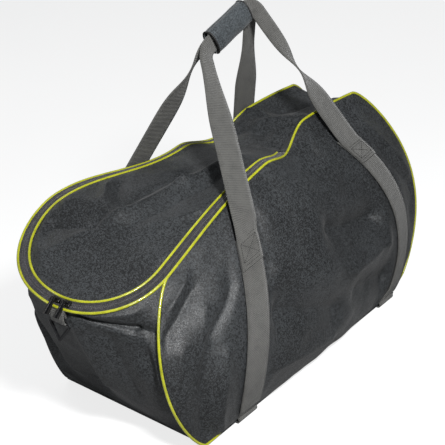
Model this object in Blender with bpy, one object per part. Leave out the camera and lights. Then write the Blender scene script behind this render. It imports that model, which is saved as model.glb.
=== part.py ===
"""A soft skate bag: a stuffed fabric body with a U-shaped zipped lid, piped seams,
two girth straps, and a pair of webbing handles held together by a wrap.

X runs along the bag, from the zipped near end (-X) to the far end (+X). Y runs across
it, front (-Y) to back (+Y). Z is up and the straps under the bag rest on Z = 0.
"""

import math

import bmesh
import bpy
import numpy as np
from mathutils import Matrix, Vector

# Overall shape of the stuffed body.
NEAR_TIP_X = -0.297
NEAR_SEAM_X = -0.188
NEAR_BOTTOM_X = -0.199
NEAR_FRONT_BULGE = 0.048
NEAR_BACK_BULGE = 0.031
FAR_BOTTOM_X = 0.233
FAR_TOP_X = 0.213
FAR_SEAM_BULGE = 0.078
NEAR_HEIGHT = 0.169
FAR_HEIGHT = 0.308
RISE_POWER = 1.08
BACK_RISE = 0.062
BACK_RISE_REACH = 0.21

# Half widths of the body.
NEAR_BOTTOM_HALF = 0.136
FAR_BOTTOM_HALF = 0.085
NEAR_TOP_HALF = 0.103
WAIST_HALF = 0.080
FAR_TOP_HALF = 0.054
WAIST_X = 0.010
WAIST_NEAR_REACH = 0.244
WAIST_FAR_REACH = 0.10
TIP_ROUND_LENGTH = 0.112
TIP_SQUARENESS = 2.1
SEAM_SIDE_BULGE = 0.012
SEAM_ROUNDNESS = 0.70
SIDE_BULGE = 0.045
TOP_TAUTNESS = 0.4
NEAR_END_DENT = 0.028
FAR_END_BULGE = 0.010
LID_CROWN = 0.006
REAR_CROWN = -0.014
CROWN_START = 0.015
CROWN_REACH = 0.075

# Lid and zip.
HINGE_X = 0.058
HINGE_GAP = 0.0012
HINGE_DIP = 0.017
DIP_REACH = 0.055
ZIP_BAND = 0.0135
ZIP_COIL_WIDTH = 0.0016
ZIP_COIL_HEIGHT = 0.0022
ZIP_MIDDLE_GAP = 0.0004
TAPE = 0.0010

# Cloth, piping, webbing and board.
CLOTH = 0.0016
PIPING_RADIUS = 0.0023
WEBBING_WIDTH = 0.036
WEBBING = 0.0018
GAP = 0.0004
SEAM_CLEARANCE = 0.0018
STRAP_CLEARANCE = 0.0008
SURFACE_GAP = 0.0012
BOARD = 0.0030
BOARD_INSET = 0.016

# Where the girth straps run on the side panels, as shares of the panel from the near seam.
NEAR_STRAP_BOTTOM = 0.175
NEAR_STRAP_TOP = 0.300
FAR_STRAP_BOTTOM = 0.938
FRONT_FAR_STRAP_TOP = 0.800
BACK_FAR_STRAP_TOP = 0.745
BOX_STITCH_ROW = 10

# Handles and their wrap.
GRIP_X = 0.047
GRIP_RISE = 0.125
GRIP_HEIGHT = FAR_HEIGHT + GRIP_RISE
GRIP_TILT = math.radians(22.0)
GRIP_WIDTH = 0.023
GRIP_SPACING = 0.0032
HANDLE_SHOULDER = 0.014
HANDLE_SECTIONS = 44
NARROWING_START = 0.60
END_SECTIONS = 3
WRAP_CLEARANCE = 0.0020
LEG_GAP = 0.0030
LEG_STANDOFF = 0.0050
WRAP_LENGTH = 0.068
WRAP_HEIGHT = 0.031
WRAP_DEPTH = 0.021
WRAP_WALL = 0.0016
HOOK_STRIP = 0.0010
HOOK_STRIP_HEIGHT = 0.012

# Zip sliders, their pulls, and the end tab with its ring.
SLIDER_PLACE = -0.028
SLIDER_LENGTH = 0.013
SLIDER_WIDTH = 0.0078
SLIDER_HEIGHT = 0.0032
SLIDER_SPACING = 0.0142
BAIL_HEIGHT = 0.0026
BAIL_WIDTH = 0.0022
PULL_DROOP = math.radians(20.0)
PULL_LENGTH = 0.020
PULL_WIDTH = 0.0065
PULL_THICKNESS = 0.0016
PULL_EDGE = 0.0004
TAB_PLACE = 0.41
TAB_START = 0.045
TAB_WIDTH = 0.020
TAB_WEBBING = 0.0012
TAB_STANDOFF = 0.0010
TAB_DROP = 0.013
RING_WIRE = 0.0015
RING_WIDTH = 0.029
RING_DEPTH = 0.024
RING_ROUNDING = 0.08

# Mesh fineness.
PANEL_COLUMNS = 28
PANEL_ROWS = 12
CURVE_POINTS = 60
LID_EDGE_POINTS = 241
LID_CORNER_SHARE = 0.35
PIPING_STEP = 0.008
PIPING_START_TRIM = 0.001
PIPING_END_TRIM = 0.014

SEAM_INSET = PIPING_RADIUS + SEAM_CLEARANCE
SEAM_Z = WEBBING + STRAP_CLEARANCE + PIPING_RADIUS
BOTTOM_Z = WEBBING + GAP


def smooth(t):
    t = min(max(t, 0.0), 1.0)
    return t * t * (3.0 - 2.0 * t)


def mix(a, b, t):
    return a + (b - a) * t


# --- The body's shape ------------------------------------------------------------------


def top_half_plain(x):
    """Half width of the top before the near tip is rounded."""
    if x < WAIST_X:
        return mix(WAIST_HALF, NEAR_TOP_HALF, smooth((WAIST_X - x) / WAIST_NEAR_REACH))
    return mix(WAIST_HALF, FAR_TOP_HALF, smooth((x - WAIST_X) / WAIST_FAR_REACH))


def top_half(x):
    """Half width of the top, with the rounded tip of the U."""
    t = min(max((NEAR_TIP_X + TIP_ROUND_LENGTH - x) / TIP_ROUND_LENGTH, 0.0), 1.0)
    return top_half_plain(x) * (1.0 - t**TIP_SQUARENESS) ** (1.0 / TIP_SQUARENESS)


def top_height(x, y):
    """Height of the top surface, which stands higher along the back of the near end."""
    t = min(max((x - NEAR_TIP_X) / (FAR_TOP_X - NEAR_TIP_X), 0.0), 1.1)
    edge = mix(NEAR_HEIGHT, FAR_HEIGHT, math.sin(0.5 * math.pi * min(t**RISE_POWER, 1.0)))
    across = (y + NEAR_TOP_HALF) / (2.0 * NEAR_TOP_HALF)
    rise = BACK_RISE * smooth((WAIST_X - x) / BACK_RISE_REACH) * max(across, 0.0)
    dip = HINGE_DIP * smooth((x - HINGE_X) / DIP_REACH + 1.0) * smooth((HINGE_X - x) / DIP_REACH + 1.0)
    crown = LID_CROWN * smooth((HINGE_X - x - CROWN_START) / CROWN_REACH)
    crown += REAR_CROWN * smooth((x - HINGE_X - CROWN_START) / CROWN_REACH)
    share = y / top_half_plain(x)
    return edge + rise - dip + crown * max(1.0 - share * share, 0.0)


def side_sign(side):
    return -1.0 if side == "front" else 1.0


def top_point(x, y, lift=0.0):
    return Vector((x, y, top_height(x, y) + lift))


def evenly(points, count):
    """The polyline again, as evenly spaced points."""
    line = np.array([tuple(p) for p in points])
    along = np.concatenate([[0.0], np.cumsum(np.linalg.norm(np.diff(line, axis=0), axis=1))])
    at = np.linspace(0.0, along[-1], count)
    return [Vector([np.interp(s, along, line[:, k]) for k in range(3)]) for s in at]


def length_of(points):
    return sum((b - a).length for a, b in zip(points, points[1:]))


def at_share(points, t):
    """The point that lies at this share of an evenly spaced polyline."""
    place = min(max(t, 0.0), 1.0) * (len(points) - 1)
    i = min(int(place), len(points) - 2)
    return points[i].lerp(points[i + 1], place - i)


def bottom_half(x):
    return mix(NEAR_BOTTOM_HALF, FAR_BOTTOM_HALF, (x - NEAR_BOTTOM_X) / (FAR_BOTTOM_X - NEAR_BOTTOM_X))


def bottom_seam(side):
    """From the near end to the far end, along the floor."""
    s = side_sign(side)
    xs = np.linspace(NEAR_BOTTOM_X, FAR_BOTTOM_X, CURVE_POINTS)
    return [Vector((x, s * bottom_half(x), SEAM_Z)) for x in xs]


def top_seam(side):
    """From the near seam to the far seam, along the top."""
    s = side_sign(side)
    xs = np.linspace(NEAR_SEAM_X, FAR_TOP_X, 2 * CURVE_POINTS)
    return evenly([top_point(x, s * top_half(x)) for x in xs], CURVE_POINTS)


def rising_seam(side, low, high, reach):
    """An upright seam between two corners, bowed along X by reach and a little outwards."""
    s = side_sign(side)
    points = []
    for t in np.linspace(0.0, 1.0, 2 * CURVE_POINTS):
        bow = math.sin(math.pi * t)
        p = low.lerp(high, t)
        p.x += reach * bow**SEAM_ROUNDNESS
        p.y += s * SEAM_SIDE_BULGE * bow
        points.append(p)
    return evenly(points, CURVE_POINTS)


def near_seam(side):
    bulge = NEAR_FRONT_BULGE if side == "front" else NEAR_BACK_BULGE
    return rising_seam(side, bottom_seam(side)[0], top_seam(side)[0], -bulge)


def far_seam(side):
    return rising_seam(side, bottom_seam(side)[-1], top_seam(side)[-1], FAR_SEAM_BULGE)


def tip_outline(first_angle, last_angle, count=120):
    """Plan points round the tip of the U, from the front (angle 0) to the back (180)."""
    points = []
    for angle in np.linspace(first_angle, last_angle, count):
        c, s = math.cos(angle), math.sin(angle)
        x = NEAR_TIP_X + TIP_ROUND_LENGTH * (1.0 - abs(s) ** (2.0 / TIP_SQUARENESS))
        y = -math.copysign(abs(c) ** (2.0 / TIP_SQUARENESS), c) * top_half_plain(x)
        points.append((x, y))
    return points


def seam_angle():
    """The angle round the tip at which the near seams meet the mouth."""
    t = 1.0 - (NEAR_SEAM_X - NEAR_TIP_X) / TIP_ROUND_LENGTH
    return math.asin(t ** (TIP_SQUARENESS / 2.0))


def near_mouth():
    """The mouth's edge round the near end, from the front seam to the back seam."""
    a = seam_angle()
    return evenly([top_point(x, y) for x, y in tip_outline(a, math.pi - a)], CURVE_POINTS)


def mouth_plan():
    """The whole U of the mouth in plan: front hinge end, round the tip, back hinge end."""
    end = HINGE_X - HINGE_GAP
    start = NEAR_TIP_X + TIP_ROUND_LENGTH
    xs = np.linspace(end, start, 40, endpoint=False)
    front = [(x, -top_half(x)) for x in xs]
    back = [(x, -y) for x, y in reversed(front)]
    flat = [Vector((x, y, 0.0)) for x, y in front + tip_outline(0.0, math.pi, 160) + back]
    return evenly(flat, 240)


def mouth_line(inset, count, lift=0.0):
    """The U moved inwards by inset and laid on the top, as count even points."""
    plan = mouth_plan()
    moved = []
    for i, p in enumerate(plan):
        d = plan[min(i + 1, len(plan) - 1)] - plan[max(i - 1, 0)]
        inward = Vector((-d.y, d.x, 0.0)).normalized()
        q = p - inward * inset
        moved.append(top_point(min(q.x, HINGE_X - HINGE_GAP), q.y, lift))
    return evenly(moved, count)


def patch(low, high, left, right, u, v):
    """A point of the surface spanned by four edge lines (a Coons patch)."""
    a, b = at_share(low, u), at_share(high, u)
    c, d = at_share(left, v), at_share(right, v)
    flat = low[0].lerp(low[-1], u).lerp(high[0].lerp(high[-1], u), v)
    return a.lerp(b, v) + c.lerp(d, u) - flat


def dome(u, v, power):
    return (math.sin(math.pi * u) * math.sin(math.pi * v)) ** power


def side_edges(side):
    """The four seams of a side panel, moved inwards so that the panel clears the piping."""
    low, far, top, near = bottom_seam(side), far_seam(side), top_seam(side), near_seam(side)
    loop = low[:-1] + far[:-1] + top[:0:-1] + near[:0:-1]
    moved = []
    for i, p in enumerate(loop):
        d = loop[(i + 1) % len(loop)] - loop[i - 1]
        moved.append(p + Vector((-d.z, 0.0, d.x)).normalized() * SEAM_INSET)
    n = CURVE_POINTS - 1
    moved.append(moved[0])
    quarters = [moved[k * n : (k + 1) * n + 1] for k in range(4)]
    return quarters[0], quarters[2][::-1], quarters[3][::-1], quarters[1]


def side_surface(side):
    """A function of (u, v) for a side panel: u near to far, v bottom to top."""
    edges = side_edges(side)
    out = Vector((0.0, side_sign(side), 0.0))

    def surface(u, v):
        taut = 1.0 - TOP_TAUTNESS * v**3
        return patch(*edges, u, v) + out * (SIDE_BULGE * taut * dome(u, v, 0.75))
    return surface


def straight(a, b):
    return [a.lerp(b, t) for t in np.linspace(0.0, 1.0, CURVE_POINTS)]


def shifted(points, x=0.0, y=0.0, z=0.0):
    return [p + Vector((x, y, z)) for p in points]


def near_surface():
    """The near end: u front to back, v bottom to top."""
    front = shifted(near_seam("front"), y=SEAM_INSET, z=-SEAM_INSET)
    back = shifted(near_seam("back"), y=-SEAM_INSET, z=-SEAM_INSET)
    top = shifted(near_mouth(), z=-SEAM_INSET)
    top = [p + (front[-1] - top[0]).lerp(back[-1] - top[-1], i / len(top)) for i, p in enumerate(top)]
    edges = (straight(front[0], back[0]), top, front, back)
    return lambda u, v: patch(*edges, u, v) + Vector((NEAR_END_DENT * dome(u, v, 0.6), 0.0, 0.0))


def far_surface():
    """The far end: u front to back, v bottom to top."""
    front = shifted(far_seam("front"), y=SEAM_INSET)
    back = shifted(far_seam("back"), y=-SEAM_INSET)
    high = [top_point(FAR_TOP_X, p.y) for p in straight(front[-1], back[-1])]
    edges = (straight(front[0], back[0]), high, front, back)
    return lambda u, v: patch(*edges, u, v) + Vector((FAR_END_BULGE * dome(u, v, 0.8), 0.0, 0.0))


def rear_top_surface():
    """The fixed top behind the hinge: u hinge to far end, v front to back."""
    def surface(u, v):
        x = mix(HINGE_X + HINGE_GAP, FAR_TOP_X - CLOTH, u)
        half = top_half(x) - SEAM_INSET
        return top_point(x, mix(-half, half, v))
    return surface


def lid_surface():
    """The lid inside its piping: u hinge to tip, v front to back."""
    line = mouth_line(ZIP_BAND + SEAM_INSET, LID_EDGE_POINTS)
    corner = round(LID_EDGE_POINTS * LID_CORNER_SHARE)
    front, tip = line[: corner + 1], line[corner : LID_EDGE_POINTS - corner]
    back = line[LID_EDGE_POINTS - 1 - corner :][::-1]
    hinge = straight(line[0], line[-1])
    raw = (evenly(front, CURVE_POINTS), evenly(back, CURVE_POINTS), hinge, evenly(tip, CURVE_POINTS))
    def surface(u, v):
        p = patch(*raw, u, v)
        return top_point(p.x, p.y)
    return surface


# --- Meshes -----------------------------------------------------------------------------


def material(name, colour, roughness, metallic=0.0):
    m = bpy.data.materials.new(name)
    m.use_nodes = True
    shader = m.node_tree.nodes["Principled BSDF"]
    shader.inputs["Base Color"].default_value = (*colour, 1.0)
    shader.inputs["Roughness"].default_value = roughness
    shader.inputs["Metallic"].default_value = metallic
    m.diffuse_color = (*colour, 1.0)
    return m


def add_object(name, bm, mat, parent=None):
    """Makes an object of a bmesh given in world coordinates, under its parent empty."""
    mesh = bpy.data.meshes.new(name)
    bm.to_mesh(mesh)
    bm.free()
    mesh.materials.append(mat)
    obj = bpy.data.objects.new(name, mesh)
    bpy.context.scene.collection.objects.link(obj)
    if parent is not None:
        mesh.transform(Matrix.Translation(-parent.location))
        obj.parent = parent
    mesh.shade_smooth()
    mesh.set_sharp_from_angle(angle=math.radians(40))
    return obj


def solidify(obj, thickness, offset):
    mod = obj.modifiers.new("Thickness", "SOLIDIFY")
    mod.thickness = thickness
    mod.offset = offset
    mod.use_even_offset = False
    return obj


def sheet(name, surface, grid, thickness, mat, flip=False, parent=None):
    """A sewn panel: a grid of columns and rows laid on a surface, thickened inwards."""
    bm = bmesh.new()
    bmesh.ops.create_grid(bm, x_segments=grid[0], y_segments=grid[1], size=0.5)
    for vert in bm.verts:
        vert.co = surface(vert.co.x + 0.5, vert.co.y + 0.5)
    if flip:
        bmesh.ops.reverse_faces(bm, faces=bm.faces[:])
    return solidify(add_object(name, bm, mat, parent), thickness, -1.0)


def strip(name, sections, thickness, offset, mat, parent=None):
    """A flat band through sections, each the two edge points of the band."""
    bm = bmesh.new()
    bmesh.ops.create_grid(bm, x_segments=1, y_segments=len(sections) - 1, size=0.5)
    for vert in bm.verts:
        edge = sections[round((vert.co.y + 0.5) * (len(sections) - 1))]
        vert.co = edge[0] if vert.co.x < 0.0 else edge[1]
    return solidify(add_object(name, bm, mat, parent), thickness, offset)


def tube(name, points, radius, mat, parent=None, cyclic=False, resolution=1):
    """A round cord through points, with closed ends."""
    curve = bpy.data.curves.new(name, "CURVE")
    curve.dimensions = "3D"
    curve.bevel_depth = radius
    curve.bevel_resolution = resolution
    curve.use_fill_caps = not cyclic
    spline = curve.splines.new("POLY")
    spline.points.add(len(points) - 1)
    spline.use_cyclic_u = cyclic
    base = parent.location if parent is not None else Vector()
    for point, p in zip(spline.points, points):
        point.co = (*(p - base), 1.0)
    curve.materials.append(mat)
    obj = bpy.data.objects.new(name, curve)
    bpy.context.scene.collection.objects.link(obj)
    obj.parent = parent
    return obj


def spaced(points, step=PIPING_STEP):
    return evenly(points, max(3, round(length_of(points) / step)))


def trimmed(points, start, end):
    """The polyline without its first start and last end metres."""
    total = length_of(points)
    fine = evenly(points, 400)
    low, high = start / total, 1.0 - end / total
    return evenly([at_share(fine, t) for t in np.linspace(low, high, 300)], 200)


def empty(name, place):
    obj = bpy.data.objects.new(name, None)
    obj.location = place
    bpy.context.scene.collection.objects.link(obj)
    return obj


def box(name, size, matrix, mat, parent=None, bevel=0.0):
    bm = bmesh.new()
    bmesh.ops.create_cube(bm, size=1.0)
    bmesh.ops.scale(bm, vec=size, verts=bm.verts)
    if bevel:
        bmesh.ops.bevel(
            bm, geom=bm.edges[:], offset=bevel, segments=2, profile=0.5, affect="EDGES", material=-1
        )
    bmesh.ops.transform(bm, matrix=matrix, verts=bm.verts)
    return add_object(name, bm, mat, parent)


# --- Panels and seams -------------------------------------------------------------------


def make_panels(mats):
    cloth = mats["cloth"]
    sides = (PANEL_COLUMNS, PANEL_ROWS)
    sheet("front_side_panel", side_surface("front"), sides, CLOTH, cloth)
    sheet("back_side_panel", side_surface("back"), sides, CLOTH, cloth, flip=True)
    sheet("near_end_panel", near_surface(), (12, 10), CLOTH, cloth, flip=True)
    sheet("far_end_panel", far_surface(), (10, 12), CLOTH, cloth)
    sheet("rear_top_panel", rear_top_surface(), (8, 10), CLOTH, cloth)


def make_bottom(mats):
    """The bottom panel, and the board inside the bag that stiffens it."""
    near_x, far_x = NEAR_BOTTOM_X + SEAM_INSET, FAR_BOTTOM_X - SEAM_INSET

    def flat(inset, z):
        def surface(u, v):
            x = mix(near_x + inset, far_x - inset, u)
            half = bottom_half(x) - SEAM_INSET - inset
            return Vector((x, mix(-half, half, v), z))
        return surface

    sheet("bottom_panel", flat(0.0, BOTTOM_Z + CLOTH), (4, 2), CLOTH, mats["cloth"])
    board_top = BOTTOM_Z + CLOTH + GAP + BOARD
    sheet("base_board", flat(BOARD_INSET, board_top), (4, 2), BOARD, mats["board"])


def clear_end(line, other):
    """The line without the last points that would crowd a piping laid along another line."""
    room = 2.0 * PIPING_RADIUS + GAP
    last = len(line)
    while min((line[last - 1] - p).length for p in other) < room:
        last -= 1
    return line[:last]


def make_piping(mats):
    mouth = mouth_line(0.0, 1200)
    for side in ("front", "back"):
        behind = [p for p in top_seam(side) if p.x > HINGE_X + PIPING_RADIUS]
        line = behind + far_seam(side)[::-1][1:] + bottom_seam(side)[::-1][1:] + near_seam(side)[1:]
        line = clear_end(trimmed(line, PIPING_START_TRIM, PIPING_END_TRIM), mouth)
        tube(f"{side}_side_piping", spaced(line), PIPING_RADIUS, mats["piping"])
    tube("mouth_piping", spaced(mouth_line(0.0, 240)), PIPING_RADIUS, mats["piping"])


# --- Lid and zip ------------------------------------------------------------------------


def band(name, inset, width, thickness, mat, parent=None, count=56):
    """A narrow flat band that follows the U of the mouth at an inset."""
    outer, inside = mouth_line(inset, count), mouth_line(inset + width, count)
    return strip(name, list(zip(outer, inside)), thickness, 0.0, mat, parent)


def lid_hinge_place():
    return top_point(HINGE_X, 0.0)


def make_zip(mats, lid):
    """Two tapes with a coil half on each, between the mouth piping and the lid piping."""
    middle = ZIP_BAND / 2.0
    coil = middle - ZIP_MIDDLE_GAP / 2.0 - ZIP_COIL_WIDTH
    tape_width = coil - GAP - SEAM_INSET
    far_coil = middle + ZIP_MIDDLE_GAP / 2.0
    far_tape = far_coil + ZIP_COIL_WIDTH + GAP
    band("mouth_zip_tape", SEAM_INSET, tape_width, TAPE, mats["tape"])
    band("mouth_zip_coil", coil, ZIP_COIL_WIDTH, ZIP_COIL_HEIGHT, mats["coil"])
    band("lid_zip_coil", far_coil, ZIP_COIL_WIDTH, ZIP_COIL_HEIGHT, mats["coil"], lid)
    band("lid_zip_tape", far_tape, tape_width, TAPE, mats["tape"], lid)


def make_lid(mats, lid):
    tube("lid_piping", spaced(mouth_line(ZIP_BAND, 240)), PIPING_RADIUS, mats["piping"], lid)
    sheet("lid_panel", lid_surface(), (18, 10), CLOTH, mats["cloth"], True, lid)


def zip_frame(line, y):
    """Place, direction along the zip and surface normal where the tip reaches y."""
    tip = [i for i, p in enumerate(line) if p.x < NEAR_TIP_X + TIP_ROUND_LENGTH]
    i = min(tip, key=lambda k: abs(line[k].y - y))
    along = (line[i + 1] - line[i - 1]).normalized()
    step = 0.004
    p = line[i]
    rise_x = (top_height(p.x + step, p.y) - top_height(p.x - step, p.y)) / (2.0 * step)
    rise_y = (top_height(p.x, p.y + step) - top_height(p.x, p.y - step)) / (2.0 * step)
    normal = Vector((-rise_x, -rise_y, 1.0)).normalized()
    normal = (normal - along * normal.dot(along)).normalized()
    return p, along, normal


def frame_matrix(place, x_axis, z_axis):
    y_axis = z_axis.cross(x_axis)
    rotation = Matrix((x_axis, y_axis, z_axis)).transposed().to_4x4()
    return Matrix.Translation(place) @ rotation


def make_sliders(mats):
    """Two sliders that meet head to head, each with a pull that swings on its bail."""
    line = mouth_line(ZIP_BAND / 2.0, 400)
    middle, along, normal = zip_frame(line, SLIDER_PLACE)
    for name, sign in (("front", -1.0), ("back", 1.0)):
        lift = ZIP_COIL_HEIGHT / 2.0 + GAP + SLIDER_HEIGHT / 2.0
        place = middle + along * (sign * SLIDER_SPACING / 2.0) + normal * lift
        slide = empty(f"{name}_slider_slide", place)
        matrix = frame_matrix(Vector(), along, normal)
        bm = bmesh.new()
        bmesh.ops.create_cube(bm, size=1.0)
        bmesh.ops.scale(bm, vec=(SLIDER_LENGTH, SLIDER_WIDTH, SLIDER_HEIGHT), verts=bm.verts)
        top = max(bm.faces, key=lambda f: f.calc_center_median().z)
        bmesh.ops.inset_individual(bm, faces=[top], thickness=(SLIDER_WIDTH - BAIL_WIDTH) / 2.0)
        bail = bmesh.ops.extrude_discrete_faces(bm, faces=[top])["faces"][0]
        bmesh.ops.translate(bm, vec=(0.0, 0.0, BAIL_HEIGHT), verts=bail.verts)
        bmesh.ops.transform(bm, matrix=Matrix.Translation(place) @ matrix, verts=bm.verts)
        add_object(f"{name}_slider", bm, mats["metal"], slide)

        hinge_place = place + normal * (SLIDER_HEIGHT / 2.0 + BAIL_HEIGHT)
        hinge = empty(f"{name}_pull_hinge", hinge_place)
        outward = along.cross(normal)
        if outward.x > 0.0:
            outward = -outward
        reach = (outward - normal * math.tan(PULL_DROOP)).normalized()
        face = reach.cross(along).normalized()
        if face.z < 0.0:
            face = -face
        start = BAIL_WIDTH / 2.0 + 2.0 * GAP
        centre = hinge_place + reach * (start + PULL_LENGTH / 2.0) + face * PULL_THICKNESS / 2.0
        size = (PULL_LENGTH, PULL_WIDTH, PULL_THICKNESS)
        place_pull = frame_matrix(centre, reach, face)
        box(f"{name}_slider_pull", size, place_pull, mats["metal"], hinge, PULL_EDGE)


# --- Webbing ----------------------------------------------------------------------------


def strap_ends(end, side):
    """Where a girth strap crosses the bottom seam and ends, as shares of the panel's length."""
    if end == "near":
        return NEAR_STRAP_BOTTOM, NEAR_STRAP_TOP
    return FAR_STRAP_BOTTOM, FRONT_FAR_STRAP_TOP if side == "front" else BACK_FAR_STRAP_TOP


def strap_rows(side, end):
    """Edge pairs of a girth strap on a side panel, bottom row first, and the top frame."""
    surface = side_surface(side)
    low_u, high_u = strap_ends(end, side)
    out = Vector((0.0, side_sign(side), 0.0))
    rows = []
    for row in range(1, BOX_STITCH_ROW + 1):
        v = row / PANEL_ROWS
        u = mix(low_u, high_u, row / BOX_STITCH_ROW)
        across = (surface(u + 0.01, v) - surface(u - 0.01, v)).normalized()
        up = (surface(u, v + 0.02) - surface(u, max(v - 0.02, 0.0))).normalized()
        normal = across.cross(up).normalized()
        if normal.dot(out) < 0.0:
            normal = -normal
        centre = surface(u, v) + normal * (SURFACE_GAP + WEBBING / 2.0)
        half = across * WEBBING_WIDTH / 2.0
        rows.append((centre - half, centre + half))
    return rows


def under_seam(side, x):
    """Edge pairs of a girth strap where it turns round the bottom seam, top one first."""
    s = side_sign(side)
    reach = SEAM_Z - WEBBING / 2.0
    edges = (x - WEBBING_WIDTH / 2.0, x + WEBBING_WIDTH / 2.0)
    pairs = []
    for angle in (50.0, 20.0, -10.0, -40.0, -65.0, -90.0):
        a = math.radians(angle)
        out, down = s * reach * math.cos(a), reach * math.sin(a)
        pairs.append([Vector((e, s * bottom_half(e) + out, SEAM_Z + down)) for e in edges])
    return pairs


def make_girth_strap(end, mats):
    """One webbing run from the front stitch box, under the bag, to the back stitch box."""
    x = mix(NEAR_BOTTOM_X, FAR_BOTTOM_X, strap_ends(end, "front")[0])
    front = strap_rows("front", end)[::-1] + under_seam("front", x)
    back = strap_rows("back", end)[::-1] + under_seam("back", x)
    strip(f"{end}_girth_strap", front + back[::-1], WEBBING, 0.0, mats["webbing"])


def box_stitch_top(side, end):
    """Middle of a girth strap's top end, where the free leg of the handle starts."""
    a, b = strap_rows(side, end)[-1]
    return (a + b) / 2.0 + Vector((0.0, side_sign(side) * LEG_STANDOFF, 0.0))


def rounded_path(corners, shoulder):
    """The polyline through corners with each inner corner drawn as a short curve."""
    points = [corners[0]]
    for before, corner, after in zip(corners, corners[1:], corners[2:]):
        a = corner + (before - corner).normalized() * shoulder
        b = corner + (after - corner).normalized() * shoulder
        for t in np.linspace(0.0, 1.0, 9):
            points.append(a.lerp(corner, t).lerp(corner.lerp(b, t), t))
    return points + [corners[-1]]


def level_end(sections, rise):
    """Turns the first sections of a leg until its end runs along the line it swings about."""
    made = list(sections)
    for k in range(END_SECTIONS):
        a, b = sections[k]
        next_a, next_b = sections[k + 1]
        along = (next_a + next_b - a - b).normalized()
        slide = (b - a).dot(rise) / 2.0 / along.dot(rise) * (1.0 - k / END_SECTIONS)
        made[k] = (a + along * slide, b - along * slide)
    return made


def make_handle(side, mats):
    """A webbing arch: two taut legs and a narrower grip, turned upright in the wrap."""
    s = side_sign(side)
    near = box_stitch_top(side, "near")
    far = box_stitch_top(side, "far")
    hinge = empty(f"{side}_handle_hinge", (near + far) / 2.0)
    reach = WRAP_LENGTH / 2.0 + WRAP_CLEARANCE + HANDLE_SHOULDER
    y = s * GRIP_SPACING / 2.0
    grip_near = grip_point(-reach, y, 0.0)
    grip_far = grip_point(reach, y, 0.0)
    near_start = near + (grip_near - near).normalized() * LEG_GAP
    far_start = far + (grip_far - far).normalized() * LEG_GAP
    path = rounded_path([near_start, grip_near, grip_far, far_start], HANDLE_SHOULDER)
    path = evenly(path, HANDLE_SECTIONS)
    axis = (far - near).normalized()
    leg_face = axis.cross(grip_near - near).normalized()
    grip_face = Vector((0.0, math.copysign(1.0, leg_face.y), 0.0))
    sections = []
    for i, p in enumerate(path):
        tangent = (path[min(i + 1, len(path) - 1)] - path[max(i - 1, 0)]).normalized()
        share = (p.z - near.z) / (grip_near.z - near.z - HANDLE_SHOULDER)
        to_grip = smooth((share - NARROWING_START) / (1.0 - NARROWING_START))
        face = leg_face.lerp(grip_face, to_grip).normalized()
        half = face.cross(tangent).normalized() * (mix(WEBBING_WIDTH, GRIP_WIDTH, to_grip) / 2.0)
        sections.append((p - half, p + half))
    rise = (Vector((0.0, 0.0, 1.0)) - axis * axis.z).normalized()
    sections = level_end(level_end(sections, rise)[::-1], rise)[::-1]
    strip(f"{side}_handle", sections, WEBBING, 0.0, mats["webbing"], hinge)
    return hinge


def grip_point(along, y, above):
    """A point of the tilted grip, from distances along it, across the bag and above it."""
    lean, lift = grip_axes()
    return Vector((GRIP_X, y, GRIP_HEIGHT)) + lean * along + lift * above


def grip_axes():
    """Directions along the grip and square to it, in the upright plane of the grip."""
    c, d = math.cos(GRIP_TILT), math.sin(GRIP_TILT)
    return Vector((c, 0.0, d)), Vector((-d, 0.0, c))


def wrap_surface(side):
    """Half of the wrap's oval sleeve: u along the grip, v from its bottom to its top."""
    s = side_sign(side)
    gap_angle = math.asin(2.0 * GAP / WRAP_DEPTH)

    def surface(u, v):
        a = mix(-math.pi / 2.0 + gap_angle, math.pi / 2.0 - gap_angle, v)
        c, d = math.cos(a), math.sin(a)
        y = s * abs(c) ** 0.7 * WRAP_DEPTH / 2.0
        z = math.copysign(abs(d) ** 0.8, d) * WRAP_HEIGHT / 2.0
        return grip_point(mix(-0.5, 0.5, u) * WRAP_LENGTH, y, z)
    return surface


def make_wrap(mats, front_hinge):
    """The wrap is sewn to the front grip, and its flap folds over the back grip."""
    sheet("wrap_base", wrap_surface("front"), (6, 12), WRAP_WALL, mats["wrap"], False, front_hinge)
    fold = empty("wrap_flap_hinge", grip_point(0.0, 0.0, WRAP_HEIGHT / 2.0))
    sheet("wrap_flap", wrap_surface("back"), (6, 12), WRAP_WALL, mats["wrap"], True, fold)
    strip_y = WRAP_DEPTH / 2.0 - WRAP_WALL - GAP - HOOK_STRIP
    place = frame_matrix(grip_point(0.0, strip_y, 0.0), *grip_axes())
    size = (WRAP_LENGTH * 0.8, HOOK_STRIP, HOOK_STRIP_HEIGHT)
    box("wrap_hook_strip", size, place, mats["coil"], fold)


# --- End tab and ring -------------------------------------------------------------------


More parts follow.
